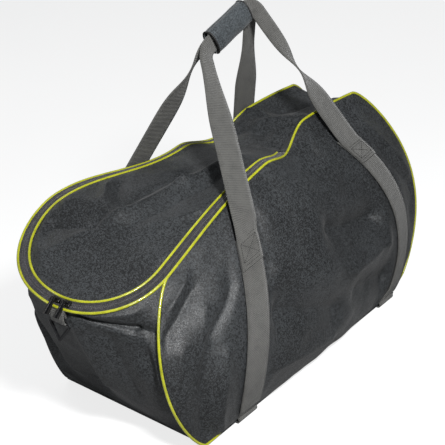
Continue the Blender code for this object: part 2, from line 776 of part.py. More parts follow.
def make_tab(mats):
    """A webbing tab under the mouth at the near end, looped round a triangular ring."""
    surface = near_surface()
    u, v = TAB_PLACE, 1.0 - TAB_START
    top = surface(u, v)
    across = (surface(u + 0.02, v) - surface(u - 0.02, v)).normalized()
    down = (surface(u, v - 0.08) - top).normalized()
    down = (down - across * down.dot(across)).normalized()
    out = down.cross(across).normalized()
    if out.x > 0.0:
        out = -out
    turn = RING_WIRE + GAP + TAB_WEBBING / 2.0
    base = top + out * (SURFACE_GAP + TAB_STANDOFF + TAB_WEBBING / 2.0)
    bar = base + out * turn + down * TAB_DROP
    path = [base, base + down * TAB_DROP * 0.5]
    for angle in np.linspace(-90.0, 90.0, 7):
        a = math.radians(angle)
        path.append(bar + down * (turn * math.cos(a)) + out * (turn * math.sin(a)))
    path += [base + out * 2.0 * turn + down * TAB_DROP * 0.5, base + out * 2.0 * turn]
    half = across * TAB_WIDTH / 2.0
    strip("end_tab", [(p - half, p + half) for p in path], TAB_WEBBING, 0.0, mats["webbing"])

    hinge = empty("ring_hinge", bar)
    wide = across * RING_WIDTH / 2.0
    hang = (Vector((0.0, 0.0, -1.0)) + across * across.z).normalized()
    corners = [bar - wide, bar + wide, bar + hang * RING_DEPTH]
    points = []
    for i, corner in enumerate(corners):
        a = corner.lerp(corners[i - 1], RING_ROUNDING)
        b = corner.lerp(corners[(i + 1) % 3], RING_ROUNDING)
        points += [a.lerp(corner, t).lerp(corner.lerp(b, t), t) for t in (0.0, 0.33, 0.67, 1.0)]
    tube("tab_ring", points, RING_WIRE, mats["metal"], hinge, cyclic=True)


def main():
    for obj in list(bpy.data.objects):
        bpy.data.objects.remove(obj, do_unlink=True)
    mats = {
        "cloth": material("charcoal_cloth", (0.045, 0.050, 0.054), 0.85),
        "piping": material("yellow_piping", (0.66, 0.68, 0.03), 0.45),
        "webbing": material("grey_webbing", (0.16, 0.16, 0.155), 0.80),
        "tape": material("zip_tape", (0.055, 0.050, 0.058), 0.80),
        "coil": material("black_nylon", (0.030, 0.028, 0.032), 0.45),
        "metal": material("black_metal", (0.015, 0.015, 0.017), 0.35, 0.7),
        "wrap": material("slate_cloth", (0.10, 0.125, 0.14), 0.85),
        "board": material("grey_board", (0.20, 0.19, 0.18), 0.80),
    }
    make_panels(mats)
    make_bottom(mats)
    make_piping(mats)
    lid = empty("lid_hinge", lid_hinge_place())
    make_zip(mats, lid)
    make_lid(mats, lid)
    make_sliders(mats)
    make_girth_strap("near", mats)
    make_girth_strap("far", mats)
    front_hinge = make_handle("front", mats)
    make_handle("back", mats)
    make_wrap(mats, front_hinge)
    make_tab(mats)


main()
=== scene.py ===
"""Looks of the soft skate bag: cloth panels with folds, piping, zip, webbing, wrap and fittings.

X runs along the bag, from the zipped near end (-X) to the far end (+X). Y runs across
it, front (-Y) to back (+Y). Z is up and the straps under the bag rest on Z = 0.
"""

import math

import bmesh
import bpy
import numpy as np
from mathutils import Matrix, Vector, noise


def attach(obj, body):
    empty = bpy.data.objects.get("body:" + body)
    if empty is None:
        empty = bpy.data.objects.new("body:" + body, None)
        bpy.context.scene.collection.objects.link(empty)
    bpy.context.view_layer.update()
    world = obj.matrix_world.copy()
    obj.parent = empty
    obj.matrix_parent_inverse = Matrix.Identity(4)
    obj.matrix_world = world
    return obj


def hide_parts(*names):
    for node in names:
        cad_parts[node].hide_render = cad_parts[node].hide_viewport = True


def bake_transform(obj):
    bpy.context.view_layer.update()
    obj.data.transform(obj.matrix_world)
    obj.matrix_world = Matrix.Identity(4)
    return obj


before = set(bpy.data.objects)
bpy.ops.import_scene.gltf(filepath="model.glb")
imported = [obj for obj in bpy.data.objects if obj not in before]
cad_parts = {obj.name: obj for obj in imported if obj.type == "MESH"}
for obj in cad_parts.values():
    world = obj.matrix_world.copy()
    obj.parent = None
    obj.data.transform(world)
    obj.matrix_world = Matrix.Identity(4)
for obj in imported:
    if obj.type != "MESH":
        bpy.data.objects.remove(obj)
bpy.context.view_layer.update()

# Overall shape of the stuffed body.
NEAR_TIP_X = -0.297
NEAR_SEAM_X = -0.188
NEAR_BOTTOM_X = -0.199
NEAR_FRONT_BULGE = 0.048
NEAR_BACK_BULGE = 0.031
FAR_BOTTOM_X = 0.233
FAR_TOP_X = 0.213
FAR_SEAM_BULGE = 0.078
NEAR_HEIGHT = 0.169
FAR_HEIGHT = 0.308
RISE_POWER = 1.08
BACK_RISE = 0.062
BACK_RISE_REACH = 0.21

# Half widths of the body.
NEAR_BOTTOM_HALF = 0.136
FAR_BOTTOM_HALF = 0.085
NEAR_TOP_HALF = 0.103
WAIST_HALF = 0.080
FAR_TOP_HALF = 0.054
WAIST_X = 0.010
WAIST_NEAR_REACH = 0.244
WAIST_FAR_REACH = 0.10
TIP_ROUND_LENGTH = 0.112
TIP_SQUARENESS = 2.1
SEAM_SIDE_BULGE = 0.012
SEAM_ROUNDNESS = 0.70
SIDE_BULGE = 0.045
TOP_TAUTNESS = 0.4
NEAR_END_DENT = 0.028
FAR_END_BULGE = 0.010
LID_CROWN = 0.006
REAR_CROWN = -0.014
CROWN_START = 0.015
CROWN_REACH = 0.075

# Lid and zip.
HINGE_X = 0.058
HINGE_DIP = 0.017
DIP_REACH = 0.055
ZIP_BAND = 0.0135
ZIP_COIL_WIDTH = 0.0016
ZIP_COIL_HEIGHT = 0.0022
TAPE = 0.0010

# Cloth, piping, webbing and board.
CLOTH = 0.0016
PIPING_RADIUS = 0.0023
WEBBING_WIDTH = 0.036
WEBBING = 0.0018
GAP = 0.0004
STRAP_CLEARANCE = 0.0008
SURFACE_GAP = 0.0012

# Where the girth straps run on the side panels, as shares of the panel from the near seam.
NEAR_STRAP_BOTTOM = 0.175
NEAR_STRAP_TOP = 0.300
FAR_STRAP_BOTTOM = 0.938
FRONT_FAR_STRAP_TOP = 0.800
BACK_FAR_STRAP_TOP = 0.745
BOX_STITCH_ROW = 10

# Handles and their wrap.
GRIP_X = 0.047
GRIP_RISE = 0.125
GRIP_HEIGHT = FAR_HEIGHT + GRIP_RISE
GRIP_TILT = math.radians(22.0)
GRIP_WIDTH = 0.023
GRIP_SPACING = 0.0032
HANDLE_SHOULDER = 0.014
NARROWING_START = 0.60
WRAP_CLEARANCE = 0.0020
LEG_GAP = 0.0030
LEG_STANDOFF = 0.0050
WRAP_LENGTH = 0.068
WRAP_HEIGHT = 0.031
WRAP_DEPTH = 0.021

# Zip sliders, their pulls, and the end tab with its ring.
SLIDER_PLACE = -0.028
SLIDER_LENGTH = 0.013
SLIDER_WIDTH = 0.0078
SLIDER_HEIGHT = 0.0032
SLIDER_SPACING = 0.0142
BAIL_HEIGHT = 0.0026
BAIL_WIDTH = 0.0022
PULL_DROOP = math.radians(20.0)
PULL_LENGTH = 0.020
PULL_WIDTH = 0.0065
PULL_THICKNESS = 0.0016
TAB_PLACE = 0.41
TAB_START = 0.045
TAB_WIDTH = 0.020
TAB_WEBBING = 0.0012
TAB_STANDOFF = 0.0010
TAB_DROP = 0.013
RING_WIRE = 0.0015

# Mesh fineness.
PANEL_ROWS = 12
CURVE_POINTS = 140
LID_EDGE_POINTS = 241
LID_CORNER_SHARE = 0.35

SEAM_INSET = 0.0004
SEAM_Z = WEBBING + STRAP_CLEARANCE + PIPING_RADIUS
BOTTOM_Z = WEBBING + GAP

# Looks only.
TUBE_SIDES = 12
SEAM_CORD = 0.0017
WEB_RIB = 0.0022
STITCH_WIDTH = 0.0007
STITCH_LIFT = 0.0002
TOOTH_PITCH = 0.0021
SEWN_LENGTH = {"near": 0.034, "far": 0.046}
WIRE_THICKENING = 0.0006
LEG_BEND = 0.030
LEG_BEND_START = 0.002
LEVEL_LENGTH = 0.06
LEG_TURN_REACH = 0.15
LEG_SHAPES = {
    "front": ((0.85, math.radians(0.0), 0.0), (0.80, math.radians(-46.0), 0.0)),
    "back": ((0.95, math.radians(40.0), 0.0), (0.60, math.radians(0.0), 0.0)),
}
TUCK_HEIGHT = 0.030
TUCK_START = 0.020
TUCK_IN = 0.006
TUCK_DOWN = 0.0010
CORNER_TUCK = 0.006
CORNER_TUCK_HEIGHT = 0.125
LID_LAP = 0.006
LID_LAP_SHARE = 0.02
LID_LAP_RISE = 0.0003
CREASE_SHARPNESS = 1.3
AMBIENT = 0.24
FLOOR_GLOW = 0.76
STRAP_HOLD = 0.016
WRAP_SLIT = 0.04
STRAP_HOLD_HALF = WEBBING_WIDTH * 0.52
TAB_TUCK = 0.006
FOLD_REACH = 3.5
RUMPLE_SIZE = 0.060
FINE_RUMPLE_SIZE = 0.024
FINE_RUMPLE_SHARE = 0.4
STRAP_HOLD_END = 6.0
SIDE_CORD_POINTS = 420
MOUTH_CORD_POINTS = 360
TAPE_POINTS = 300
TEETH_POINTS = 1200
SLIDER_LINE_POINTS = 400
SLOPE_STEP = 0.004
STRAP_SECTIONS = 420
HANDLE_PATH_POINTS = 240
HANDLE_SECTIONS = 460
HANDLE_END_TRIM = 4
HANDLE_SMOOTHING = 5
TAB_SECTIONS = 80
TURN_POINTS = 15
WRAP_SWELL = 0.05
WRAP_PINCH = 0.04
WRAP_PINCH_REACH = 0.2
WRAP_RUMPLE = 0.0010
WRAP_RUMPLE_SIZE = 0.012
WRAP_RUMPLE_SEED = 9.0
HEM_INSET = 0.06
EDGE_FADE = 0.013
CORNER_TUCK_FADE = 0.02
CORNER_TUCK_LENGTH = 0.06
CORNER_TUCK_END = 0.03
CLOTH_SHOWN = CLOTH * 0.8
MOUTH_TEETH_GAP = 0.0012
TOOTH_LENGTH = TOOTH_PITCH * 0.62
TOOTH_WIDTH = ZIP_COIL_WIDTH * 1.5
TOOTH_LEAN = ZIP_COIL_WIDTH * 0.2
SLIDER_TAIL = 0.72
SLIDER_EDGE = 0.0009
BAIL_LENGTH = SLIDER_LENGTH * 0.62
BAIL_SHOWN_WIDTH = BAIL_WIDTH * 0.8
BAIL_SINK = 0.0003
BAIL_EDGE = 0.0006
PULL_NECK = 0.62
PULL_TAPER = 1.6
PULL_DISH_WIDTH = PULL_WIDTH * 0.2
PULL_DISH_EDGE = 0.0004
PULL_DISH_DEPTH = 0.0003
HEM_PITCH = 0.0030
HEM_STITCH = 0.0021
BINDING_RADIUS = 0.0011
BOX_PITCH = 0.0029
BOX_STITCH = 0.0023
BOX_STITCH_WIDTH = 0.0009
UP = Vector((0.0, 0.0, 1.0))
CAMERA_AZIMUTH = -42.2162
CAMERA_ELEVATION = 21.9793
CAMERA_ROLL = -7.4775
CAMERA_DISTANCE = 1.3575
CAMERA_TARGET_Z = 0.181
CAMERA_FOCAL = 2.3225
CAMERA_SHIFT = (-0.00784, 0.00597)

# --- Small sums -------------------------------------------------------------------------


def smooth(t):
    t = min(max(t, 0.0), 1.0)
    return t * t * (3.0 - 2.0 * t)


def mix(a, b, t):
    return a + (b - a) * t


# --- The body's shape -------------------------------------------------------------------


def top_half_plain(x):
    """Half width of the top before the near tip is rounded."""
    if x < WAIST_X:
        return mix(WAIST_HALF, NEAR_TOP_HALF, smooth((WAIST_X - x) / WAIST_NEAR_REACH))
    return mix(WAIST_HALF, FAR_TOP_HALF, smooth((x - WAIST_X) / WAIST_FAR_REACH))


def top_half(x):
    """Half width of the top, with the rounded tip of the U."""
    t = min(max((NEAR_TIP_X + TIP_ROUND_LENGTH - x) / TIP_ROUND_LENGTH, 0.0), 1.0)
    return top_half_plain(x) * (1.0 - t**TIP_SQUARENESS) ** (1.0 / TIP_SQUARENESS)


def top_height(x, y):
    """Height of the top surface, which stands higher along the back of the near end."""
    t = min(max((x - NEAR_TIP_X) / (FAR_TOP_X - NEAR_TIP_X), 0.0), 1.1)
    edge = mix(NEAR_HEIGHT, FAR_HEIGHT, math.sin(0.5 * math.pi * min(t**RISE_POWER, 1.0)))
    across = (y + NEAR_TOP_HALF) / (2.0 * NEAR_TOP_HALF)
    rise = BACK_RISE * smooth((WAIST_X - x) / BACK_RISE_REACH) * max(across, 0.0)
    dip = HINGE_DIP * smooth((x - HINGE_X) / DIP_REACH + 1.0) * smooth((HINGE_X - x) / DIP_REACH + 1.0)
    crown = LID_CROWN * smooth((HINGE_X - x - CROWN_START) / CROWN_REACH)
    crown += REAR_CROWN * smooth((x - HINGE_X - CROWN_START) / CROWN_REACH)
    share = y / top_half_plain(x)
    return edge + rise - dip + crown * max(1.0 - share * share, 0.0)


def side_sign(side):
    return -1.0 if side == "front" else 1.0


def top_point(x, y):
    return Vector((x, y, top_height(x, y)))


def evenly(points, count):
    """The polyline again, as evenly spaced points."""
    line = np.array([tuple(p) for p in points])
    along = np.concatenate([[0.0], np.cumsum(np.linalg.norm(np.diff(line, axis=0), axis=1))])
    at = np.linspace(0.0, along[-1], count)
    return [Vector([np.interp(s, along, line[:, k]) for k in range(3)]) for s in at]


def length_of(points):
    return sum((b - a).length for a, b in zip(points, points[1:]))


def at_share(points, t):
    """The point that lies at this share of an evenly spaced polyline."""
    place = min(max(t, 0.0), 1.0) * (len(points) - 1)
    i = min(int(place), len(points) - 2)
    return points[i].lerp(points[i + 1], place - i)


def bottom_half(x):
    return mix(NEAR_BOTTOM_HALF, FAR_BOTTOM_HALF, (x - NEAR_BOTTOM_X) / (FAR_BOTTOM_X - NEAR_BOTTOM_X))


def bottom_seam(side):
    """From the near end to the far end, along the floor."""
    s = side_sign(side)
    xs = np.linspace(NEAR_BOTTOM_X, FAR_BOTTOM_X, CURVE_POINTS)
    return [Vector((x, s * bottom_half(x), SEAM_Z)) for x in xs]


def top_seam(side):
    """From the near seam to the far seam, along the top."""
    s = side_sign(side)
    xs = np.linspace(NEAR_SEAM_X, FAR_TOP_X, 2 * CURVE_POINTS)
    return evenly([top_point(x, s * top_half(x)) for x in xs], CURVE_POINTS)


def rising_seam(side, low, high, reach):
    """An upright seam between two corners, bowed along X by reach and a little outwards."""
    s = side_sign(side)
    points = []
    for t in np.linspace(0.0, 1.0, 2 * CURVE_POINTS):
        bow = math.sin(math.pi * t)
        p = low.lerp(high, t)
        p.x += reach * bow**SEAM_ROUNDNESS
        p.y += s * SEAM_SIDE_BULGE * bow
        points.append(p)
    return evenly(points, CURVE_POINTS)


def near_seam(side):
    bulge = NEAR_FRONT_BULGE if side == "front" else NEAR_BACK_BULGE
    return rising_seam(side, bottom_seam(side)[0], top_seam(side)[0], -bulge)


def far_seam(side):
    return rising_seam(side, bottom_seam(side)[-1], top_seam(side)[-1], FAR_SEAM_BULGE)


def tip_outline(first_angle, last_angle, count=120):
    """Plan points round the tip of the U, from the front (angle 0) to the back (180)."""
    points = []
    for angle in np.linspace(first_angle, last_angle, count):
        c, s = math.cos(angle), math.sin(angle)
        x = NEAR_TIP_X + TIP_ROUND_LENGTH * (1.0 - abs(s) ** (2.0 / TIP_SQUARENESS))
        y = -math.copysign(abs(c) ** (2.0 / TIP_SQUARENESS), c) * top_half_plain(x)
        points.append((x, y))
    return points


def seam_angle():
    """The angle round the tip at which the near seams meet the mouth."""
    t = 1.0 - (NEAR_SEAM_X - NEAR_TIP_X) / TIP_ROUND_LENGTH
    return math.asin(t ** (TIP_SQUARENESS / 2.0))


def near_mouth():
    """The mouth's edge round the near end, from the front seam to the back seam."""
    a = seam_angle()
    return evenly([top_point(x, y) for x, y in tip_outline(a, math.pi - a)], CURVE_POINTS)


def mouth_plan():
    """The whole U of the mouth in plan: front hinge end, round the tip, back hinge end."""
    start = NEAR_TIP_X + TIP_ROUND_LENGTH
    xs = np.linspace(HINGE_X, start, 40, endpoint=False)
    front = [(x, -top_half(x)) for x in xs]
    back = [(x, -y) for x, y in reversed(front)]
    flat = [Vector((x, y, 0.0)) for x, y in front + tip_outline(0.0, math.pi, 160) + back]
    return evenly(flat, 240)


def mouth_line(inset, count):
    """The U moved inwards by inset and laid on the top, as count even points."""
    plan = mouth_plan()
    moved = []
    for i, p in enumerate(plan):
        d = plan[min(i + 1, len(plan) - 1)] - plan[max(i - 1, 0)]
        inward = Vector((-d.y, d.x, 0.0)).normalized()
        q = p - inward * inset
        moved.append(top_point(min(q.x, HINGE_X), q.y))
    return evenly(moved, count)


def patch(low, high, left, right, u, v):
    """A point of the surface spanned by four edge lines (a Coons patch)."""
    a, b = at_share(low, u), at_share(high, u)
    c, d = at_share(left, v), at_share(right, v)
    flat = low[0].lerp(low[-1], u).lerp(high[0].lerp(high[-1], u), v)
    return a.lerp(b, v) + c.lerp(d, u) - flat


def dome(u, v, power):
    return (math.sin(math.pi * u) * math.sin(math.pi * v)) ** power


def side_edges(side):
    """The four seams of a side panel, moved inwards so that the panel clears the piping."""
    low, far, top, near = bottom_seam(side), far_seam(side), top_seam(side), near_seam(side)
    loop = low[:-1] + far[:-1] + top[:0:-1] + near[:0:-1]
    moved = []
    for i, p in enumerate(loop):
        d = loop[(i + 1) % len(loop)] - loop[i - 1]
        moved.append(p + Vector((-d.z, 0.0, d.x)).normalized() * SEAM_INSET)
    n = CURVE_POINTS - 1
    moved.append(moved[0])
    quarters = [moved[k * n : (k + 1) * n + 1] for k in range(4)]
    return quarters[0], quarters[2][::-1], quarters[3][::-1], quarters[1]


def side_surface(side):
    """A function of (u, v) for a side panel: u near to far, v bottom to top."""
    edges = side_edges(side)
    out = Vector((0.0, side_sign(side), 0.0))

    def surface(u, v):
        taut = 1.0 - TOP_TAUTNESS * v**3
        return patch(*edges, u, v) + out * (SIDE_BULGE * taut * dome(u, v, 0.75))
    return surface


def straight(a, b):
    return [a.lerp(b, t) for t in np.linspace(0.0, 1.0, CURVE_POINTS)]


def shifted(points, x=0.0, y=0.0, z=0.0):
    return [p + Vector((x, y, z)) for p in points]


def near_surface():
    """The near end: u front to back, v bottom to top."""
    front = shifted(near_seam("front"), y=SEAM_INSET, z=-SEAM_INSET)
    back = shifted(near_seam("back"), y=-SEAM_INSET, z=-SEAM_INSET)
    top = shifted(near_mouth(), z=-SEAM_INSET)
    top = [p + (front[-1] - top[0]).lerp(back[-1] - top[-1], i / len(top)) for i, p in enumerate(top)]
    edges = (straight(front[0], back[0]), top, front, back)
    return lambda u, v: patch(*edges, u, v) + Vector((NEAR_END_DENT * dome(u, v, 0.6), 0.0, 0.0))


def far_surface():
    """The far end: u front to back, v bottom to top."""
    front = shifted(far_seam("front"), y=SEAM_INSET)
    back = shifted(far_seam("back"), y=-SEAM_INSET)
    high = [top_point(FAR_TOP_X, p.y) for p in straight(front[-1], back[-1])]
    edges = (straight(front[0], back[0]), high, front, back)
    return lambda u, v: patch(*edges, u, v) + Vector((FAR_END_BULGE * dome(u, v, 0.8), 0.0, 0.0))


def rear_top_surface():
    """The fixed top behind the hinge: u hinge to far end, v front to back."""
    def surface(u, v):
        x = mix(HINGE_X, FAR_TOP_X - CLOTH, u)
        half = top_half(x) - SEAM_INSET
        return top_point(x, mix(-half, half, v))
    return surface


def lid_surface():
    """The lid inside its piping: u hinge to tip, v front to back."""
    line = mouth_line(ZIP_BAND + SEAM_INSET, LID_EDGE_POINTS)
    corner = round(LID_EDGE_POINTS * LID_CORNER_SHARE)
    front, tip = line[: corner + 1], line[corner : LID_EDGE_POINTS - corner]
    back = line[LID_EDGE_POINTS - 1 - corner :][::-1]
    hinge = straight(line[0], line[-1])
    raw = (evenly(front, CURVE_POINTS), evenly(back, CURVE_POINTS), hinge, evenly(tip, CURVE_POINTS))
    def surface(u, v):
        p = patch(*raw, u, v)
        return top_point(p.x, p.y)
    return surface


# --- Node groups and materials ----------------------------------------------------------


def node(tree, kind, **settings):
    made = tree.nodes.new(kind)
    for key, value in settings.items():
        setattr(made, key, value)
    return made


def math_node(tree, operation, a, b=None):
    made = node(tree, "ShaderNodeMath", operation=operation)
    for socket, value in zip(made.inputs, (a, b)):
        if value is None:
            continue
        if isinstance(value, (int, float)):
            socket.default_value = value
        else:
            tree.links.new(value, socket)
    return made.outputs[0]


def new_group(name, inputs, outputs):
    """A shader node group with its group input and output nodes."""
    group = bpy.data.node_groups.new(name, "ShaderNodeTree")
    for label, kind, value in inputs:
        socket = group.interface.new_socket(label, in_out="INPUT", socket_type=kind)
        if value is not None:
            socket.default_value = value
    for label, kind in outputs:
        group.interface.new_socket(label, in_out="OUTPUT", socket_type=kind)
    return group, group.nodes.new("NodeGroupInput"), group.nodes.new("NodeGroupOutput")


def make_weave_group():
    """Crossing threads on a flat position in metres: a height and a mask of the gaps."""
    group, given, out = new_group(
        "crossing_threads",
        [("Position", "NodeSocketVector", None), ("Pitch", "NodeSocketFloat", 0.0009)],
        [("Height", "NodeSocketFloat"), ("Gaps", "NodeSocketFloat")],
    )
    split = node(group, "ShaderNodeSeparateXYZ")
    group.links.new(given.outputs["Position"], split.inputs[0])
    waves = []
    for axis in (0, 1):
        turns = math_node(group, "DIVIDE", split.outputs[axis], given.outputs["Pitch"])
        angle = math_node(group, "MULTIPLY", turns, math.pi)
        waves.append(math_node(group, "SINE", angle))
    crossed = math_node(group, "MULTIPLY", waves[0], waves[1])
    bulge = math_node(group, "MULTIPLY", math_node(group, "ABSOLUTE", waves[0]), 0.5)
    height = math_node(group, "ADD", math_node(group, "MULTIPLY", crossed, 0.5), bulge)
    gaps = math_node(group, "SUBTRACT", 1.0, math_node(group, "ABSOLUTE", crossed))
    group.links.new(height, out.inputs["Height"])
    group.links.new(gaps, out.inputs["Gaps"])
    return group


def make_spread_group(name, texture, output, first, last, **settings):
    """A texture of a chosen size, spread from Low to High."""
    group, given, out = new_group(
        name,
        [
            ("Position", "NodeSocketVector", None),
            ("Size", "NodeSocketFloat", 0.01),
            ("Low", "NodeSocketFloat", 0.0),
            ("High", "NodeSocketFloat", 1.0),
        ],
        [("Value", "NodeSocketFloat")],
    )
    grain = node(group, texture)
    for key, value in settings.items():
        grain.inputs[key].default_value = value
    group.links.new(given.outputs["Position"], grain.inputs["Vector"])
    scale = math_node(group, "DIVIDE", 1.0, given.outputs["Size"])
    group.links.new(scale, grain.inputs["Scale"])
    spread = node(group, "ShaderNodeMapRange")
    spread.inputs["From Min"].default_value = first
    spread.inputs["From Max"].default_value = last
    group.links.new(grain.outputs[output], spread.inputs["Value"])
    group.links.new(given.outputs["Low"], spread.inputs["To Min"])
    group.links.new(given.outputs["High"], spread.inputs["To Max"])
    group.links.new(spread.outputs[0], out.inputs["Value"])
    return group


GROUPS = {}


def use_group(tree, name, position, **values):
    made = node(tree, "ShaderNodeGroup", node_tree=GROUPS[name])
    tree.links.new(position, made.inputs["Position"])
    for key, value in values.items():
        made.inputs[key].default_value = value
    return made


def new_finish(name, roughness, **constants):
    """A material with its shader, and constants set on the shader's own sockets."""
    mat = bpy.data.materials.new(name)
    mat.use_nodes = True
    shader = mat.node_tree.nodes["Principled BSDF"]
    shader.inputs["Roughness"].default_value = roughness
    for key, value in constants.items():
        shader.inputs[key.replace("_", " ")].default_value = value
    return mat, mat.node_tree, shader


def two_colours(tree, shader, share, dark, light):
    """Mixes the shader's colour from dark to light by share."""
    blend = node(tree, "ShaderNodeMix", data_type="RGBA")
    tree.links.new(share, blend.inputs["Factor"])
    blend.inputs["A"].default_value = (*dark, 1.0)
    blend.inputs["B"].default_value = (*light, 1.0)
    tree.links.new(blend.outputs["Result"], shader.inputs["Base Color"])


def bumped(tree, shader, height, distance, strength=1.0, under=None):
    """Adds a bump to the shader, over an earlier one if there is one."""
    bump = node(tree, "ShaderNodeBump")
    bump.inputs["Distance"].default_value = distance
    bump.inputs["Strength"].default_value = strength
    tree.links.new(height, bump.inputs["Height"])
    if under is not None:
        tree.links.new(under, bump.inputs["Normal"])
    tree.links.new(bump.outputs["Normal"], shader.inputs["Normal"])
    return bump.outputs["Normal"]


def woven_finish(name, dark, light, pitch, depth, roughness, sparkle, sheen_patch_size, sheen):
    """Woven cloth: threads on the piece's own UV map, patches of painted sheen and a fine sparkle."""
    mat, tree, shader = new_finish(name, roughness, Sheen_Weight=sheen, Specular_IOR_Level=0.38)
    uv = node(tree, "ShaderNodeUVMap", uv_map="cloth").outputs["UV"]
    place = node(tree, "ShaderNodeTexCoord").outputs["Object"]
    threads = use_group(tree, "crossing_threads", uv, Pitch=pitch)
    # Light and dark patches painted into the colour: painted sheen.
    patches = use_group(tree, "speckle", place, Size=sheen_patch_size, Low=0.05, High=0.65)
    grain = use_group(tree, "grain", place, Size=sparkle, Low=-0.55, High=0.95)
    dulled = math_node(tree, "MULTIPLY", threads.outputs["Gaps"], -0.25)
    share = math_node(tree, "ADD", patches.outputs[0], grain.outputs[0])
    share = math_node(tree, "ADD", share, dulled)
    two_colours(tree, shader, share, dark, light)
    rough = use_group(tree, "speckle", place, Size=sparkle, Low=roughness - 0.14, High=roughness + 0.14)
    tree.links.new(rough.outputs[0], shader.inputs["Roughness"])
    under = bumped(tree, shader, grain.outputs[0], 0.0001)
    bumped(tree, shader, threads.outputs["Height"], depth, 0.35, under)
    return mat


def ribbed_finish(name, dark, light, roughness):
    """Webbing: cross ribs along its length, with fine edge threads, on its own UV map."""
    mat, tree, shader = new_finish(name, roughness, Sheen_Weight=0.2)
    uv = node(tree, "ShaderNodeUVMap", uv_map="cloth").outputs["UV"]
    place = node(tree, "ShaderNodeTexCoord").outputs["Object"]
    split = node(tree, "ShaderNodeSeparateXYZ")
    tree.links.new(uv, split.inputs[0])
    along = math_node(tree, "DIVIDE", split.outputs[1], WEB_RIB)
    rib = math_node(tree, "ABSOLUTE", math_node(tree, "SINE", math_node(tree, "MULTIPLY", along, math.pi)))
    threads = use_group(tree, "crossing_threads", uv, Pitch=WEB_RIB * 0.5)
    worn = use_group(tree, "speckle", place, Size=0.012, Low=0.1, High=0.6)
    fuzz = use_group(tree, "speckle", place, Size=0.0011, Low=-0.2, High=0.4)
    share = math_node(tree, "ADD", math_node(tree, "MULTIPLY", rib, 0.60), worn.outputs[0])
    share = math_node(tree, "ADD", share, fuzz.outputs[0])
    two_colours(tree, shader, share, dark, light)
    height = math_node(tree, "ADD", rib, math_node(tree, "MULTIPLY", threads.outputs["Height"], 0.35))
    bumped(tree, shader, height, 0.0007)
    return mat


def cord_finish(name, dark, light, roughness, grain_size, depth, coat):
    """A moulded or wrapped surface that is a little uneven in colour, gloss and height."""
    mat, tree, shader = new_finish(name, roughness, Coat_Weight=coat)
    place = node(tree, "ShaderNodeTexCoord").outputs["Object"]
    patches = use_group(tree, "speckle", place, Size=grain_size * 12.0, Low=0.1, High=0.9)
    fine = use_group(tree, "speckle", place, Size=grain_size, Low=-0.25, High=0.25)
    two_colours(tree, shader, math_node(tree, "ADD", patches.outputs[0], fine.outputs[0]), dark, light)
    low, high = roughness - 0.1, roughness + 0.12
    rough = use_group(tree, "speckle", place, Size=grain_size * 3.0, Low=low, High=high)
    tree.links.new(rough.outputs[0], shader.inputs["Roughness"])
    bumped(tree, shader, fine.outputs[0], depth)
    return mat


def metal_finish(name, dark, worn_colour):
    """Black lacquer on zinc, rubbed through along the edges."""
    mat, tree, shader = new_finish(name, 0.32, Metallic=0.9, Coat_Weight=0.3)
    place = node(tree, "ShaderNodeTexCoord").outputs["Object"]
    edge = node(tree, "ShaderNodeNewGeometry").outputs["Pointiness"]
    spread = node(tree, "ShaderNodeMapRange")
    spread.inputs["From Min"].default_value = 0.52
    spread.inputs["From Max"].default_value = 0.66
    tree.links.new(edge, spread.inputs["Value"])
    rub = use_group(tree, "speckle", place, Size=0.002, Low=0.0, High=0.9)
    share = math_node(tree, "MULTIPLY", spread.outputs[0], rub.outputs[0])
    two_colours(tree, shader, share, dark, worn_colour)
    rough = use_group(tree, "speckle", place, Size=0.0015, Low=0.24, High=0.48)
    tree.links.new(rough.outputs[0], shader.inputs["Roughness"])
    bumped(tree, shader, rub.outputs[0], 0.00004)
    return mat


def make_finishes():
    GROUPS["crossing_threads"] = make_weave_group()
    GROUPS["speckle"] = make_spread_group("speckle", "ShaderNodeTexNoise", 0, 0.30, 0.70, Detail=3.0)
    GROUPS["grain"] = make_spread_group("grain", "ShaderNodeTexVoronoi", "Color", 0.15, 0.85)
    woven = (
        # name, dark, light, thread pitch, thread depth, roughness, sparkle size, size of the painted sheen
        # patches, sheen
        ("charcoal_cloth", (0.0040, 0.0046, 0.0052), (0.0290, 0.0320, 0.0345),
         0.0008, 0.0002, 0.52, 0.0014, 0.08, 0.04),
        ("zip_tape", (0.007, 0.007, 0.008), (0.030, 0.028, 0.031),
         0.0006, 0.0001, 0.62, 0.0012, 0.02, 0.15),
        ("slate_cloth", (0.018, 0.022, 0.025), (0.056, 0.066, 0.073),
         0.0008, 0.00015, 0.66, 0.0012, 0.08, 0.15),
    )
    even = (
        # name, dark, light, roughness, grain size, grain depth, coat
        ("yellow_piping", (0.24, 0.25, 0.006), (0.38, 0.39, 0.015), 0.24, 0.0012, 0.00015, 0.5),
        ("black_nylon", (0.020, 0.019, 0.021), (0.110, 0.104, 0.112), 0.28, 0.0012, 0.00005, 0.3),
        ("dark_thread", (0.004, 0.004, 0.004), (0.014, 0.014, 0.014), 0.60, 0.0006, 0.0001, 0.0),
        ("black_wire", (0.003, 0.003, 0.004), (0.012, 0.012, 0.013), 0.42, 0.0015, 0.00003, 0.0),
        ("grey_board", (0.15, 0.14, 0.13), (0.24, 0.23, 0.21), 0.80, 0.0020, 0.0001, 0.0),
        ("black_hook_strip", (0.014, 0.014, 0.015), (0.05, 0.05, 0.05), 0.60, 0.0005, 0.0004, 0.0),
    )
    finishes = {row[0]: woven_finish(*row) for row in woven}
    finishes.update({row[0]: cord_finish(*row) for row in even})
    finishes["grey_webbing"] = ribbed_finish(
        "grey_webbing", (0.016, 0.016, 0.015), (0.076, 0.075, 0.069), 0.80
    )
    finishes["black_lacquer"] = metal_finish("black_lacquer", (0.010, 0.010, 0.011), (0.16, 0.15, 0.14))
    return finishes


# --- Mesh tools -------------------------------------------------------------------------


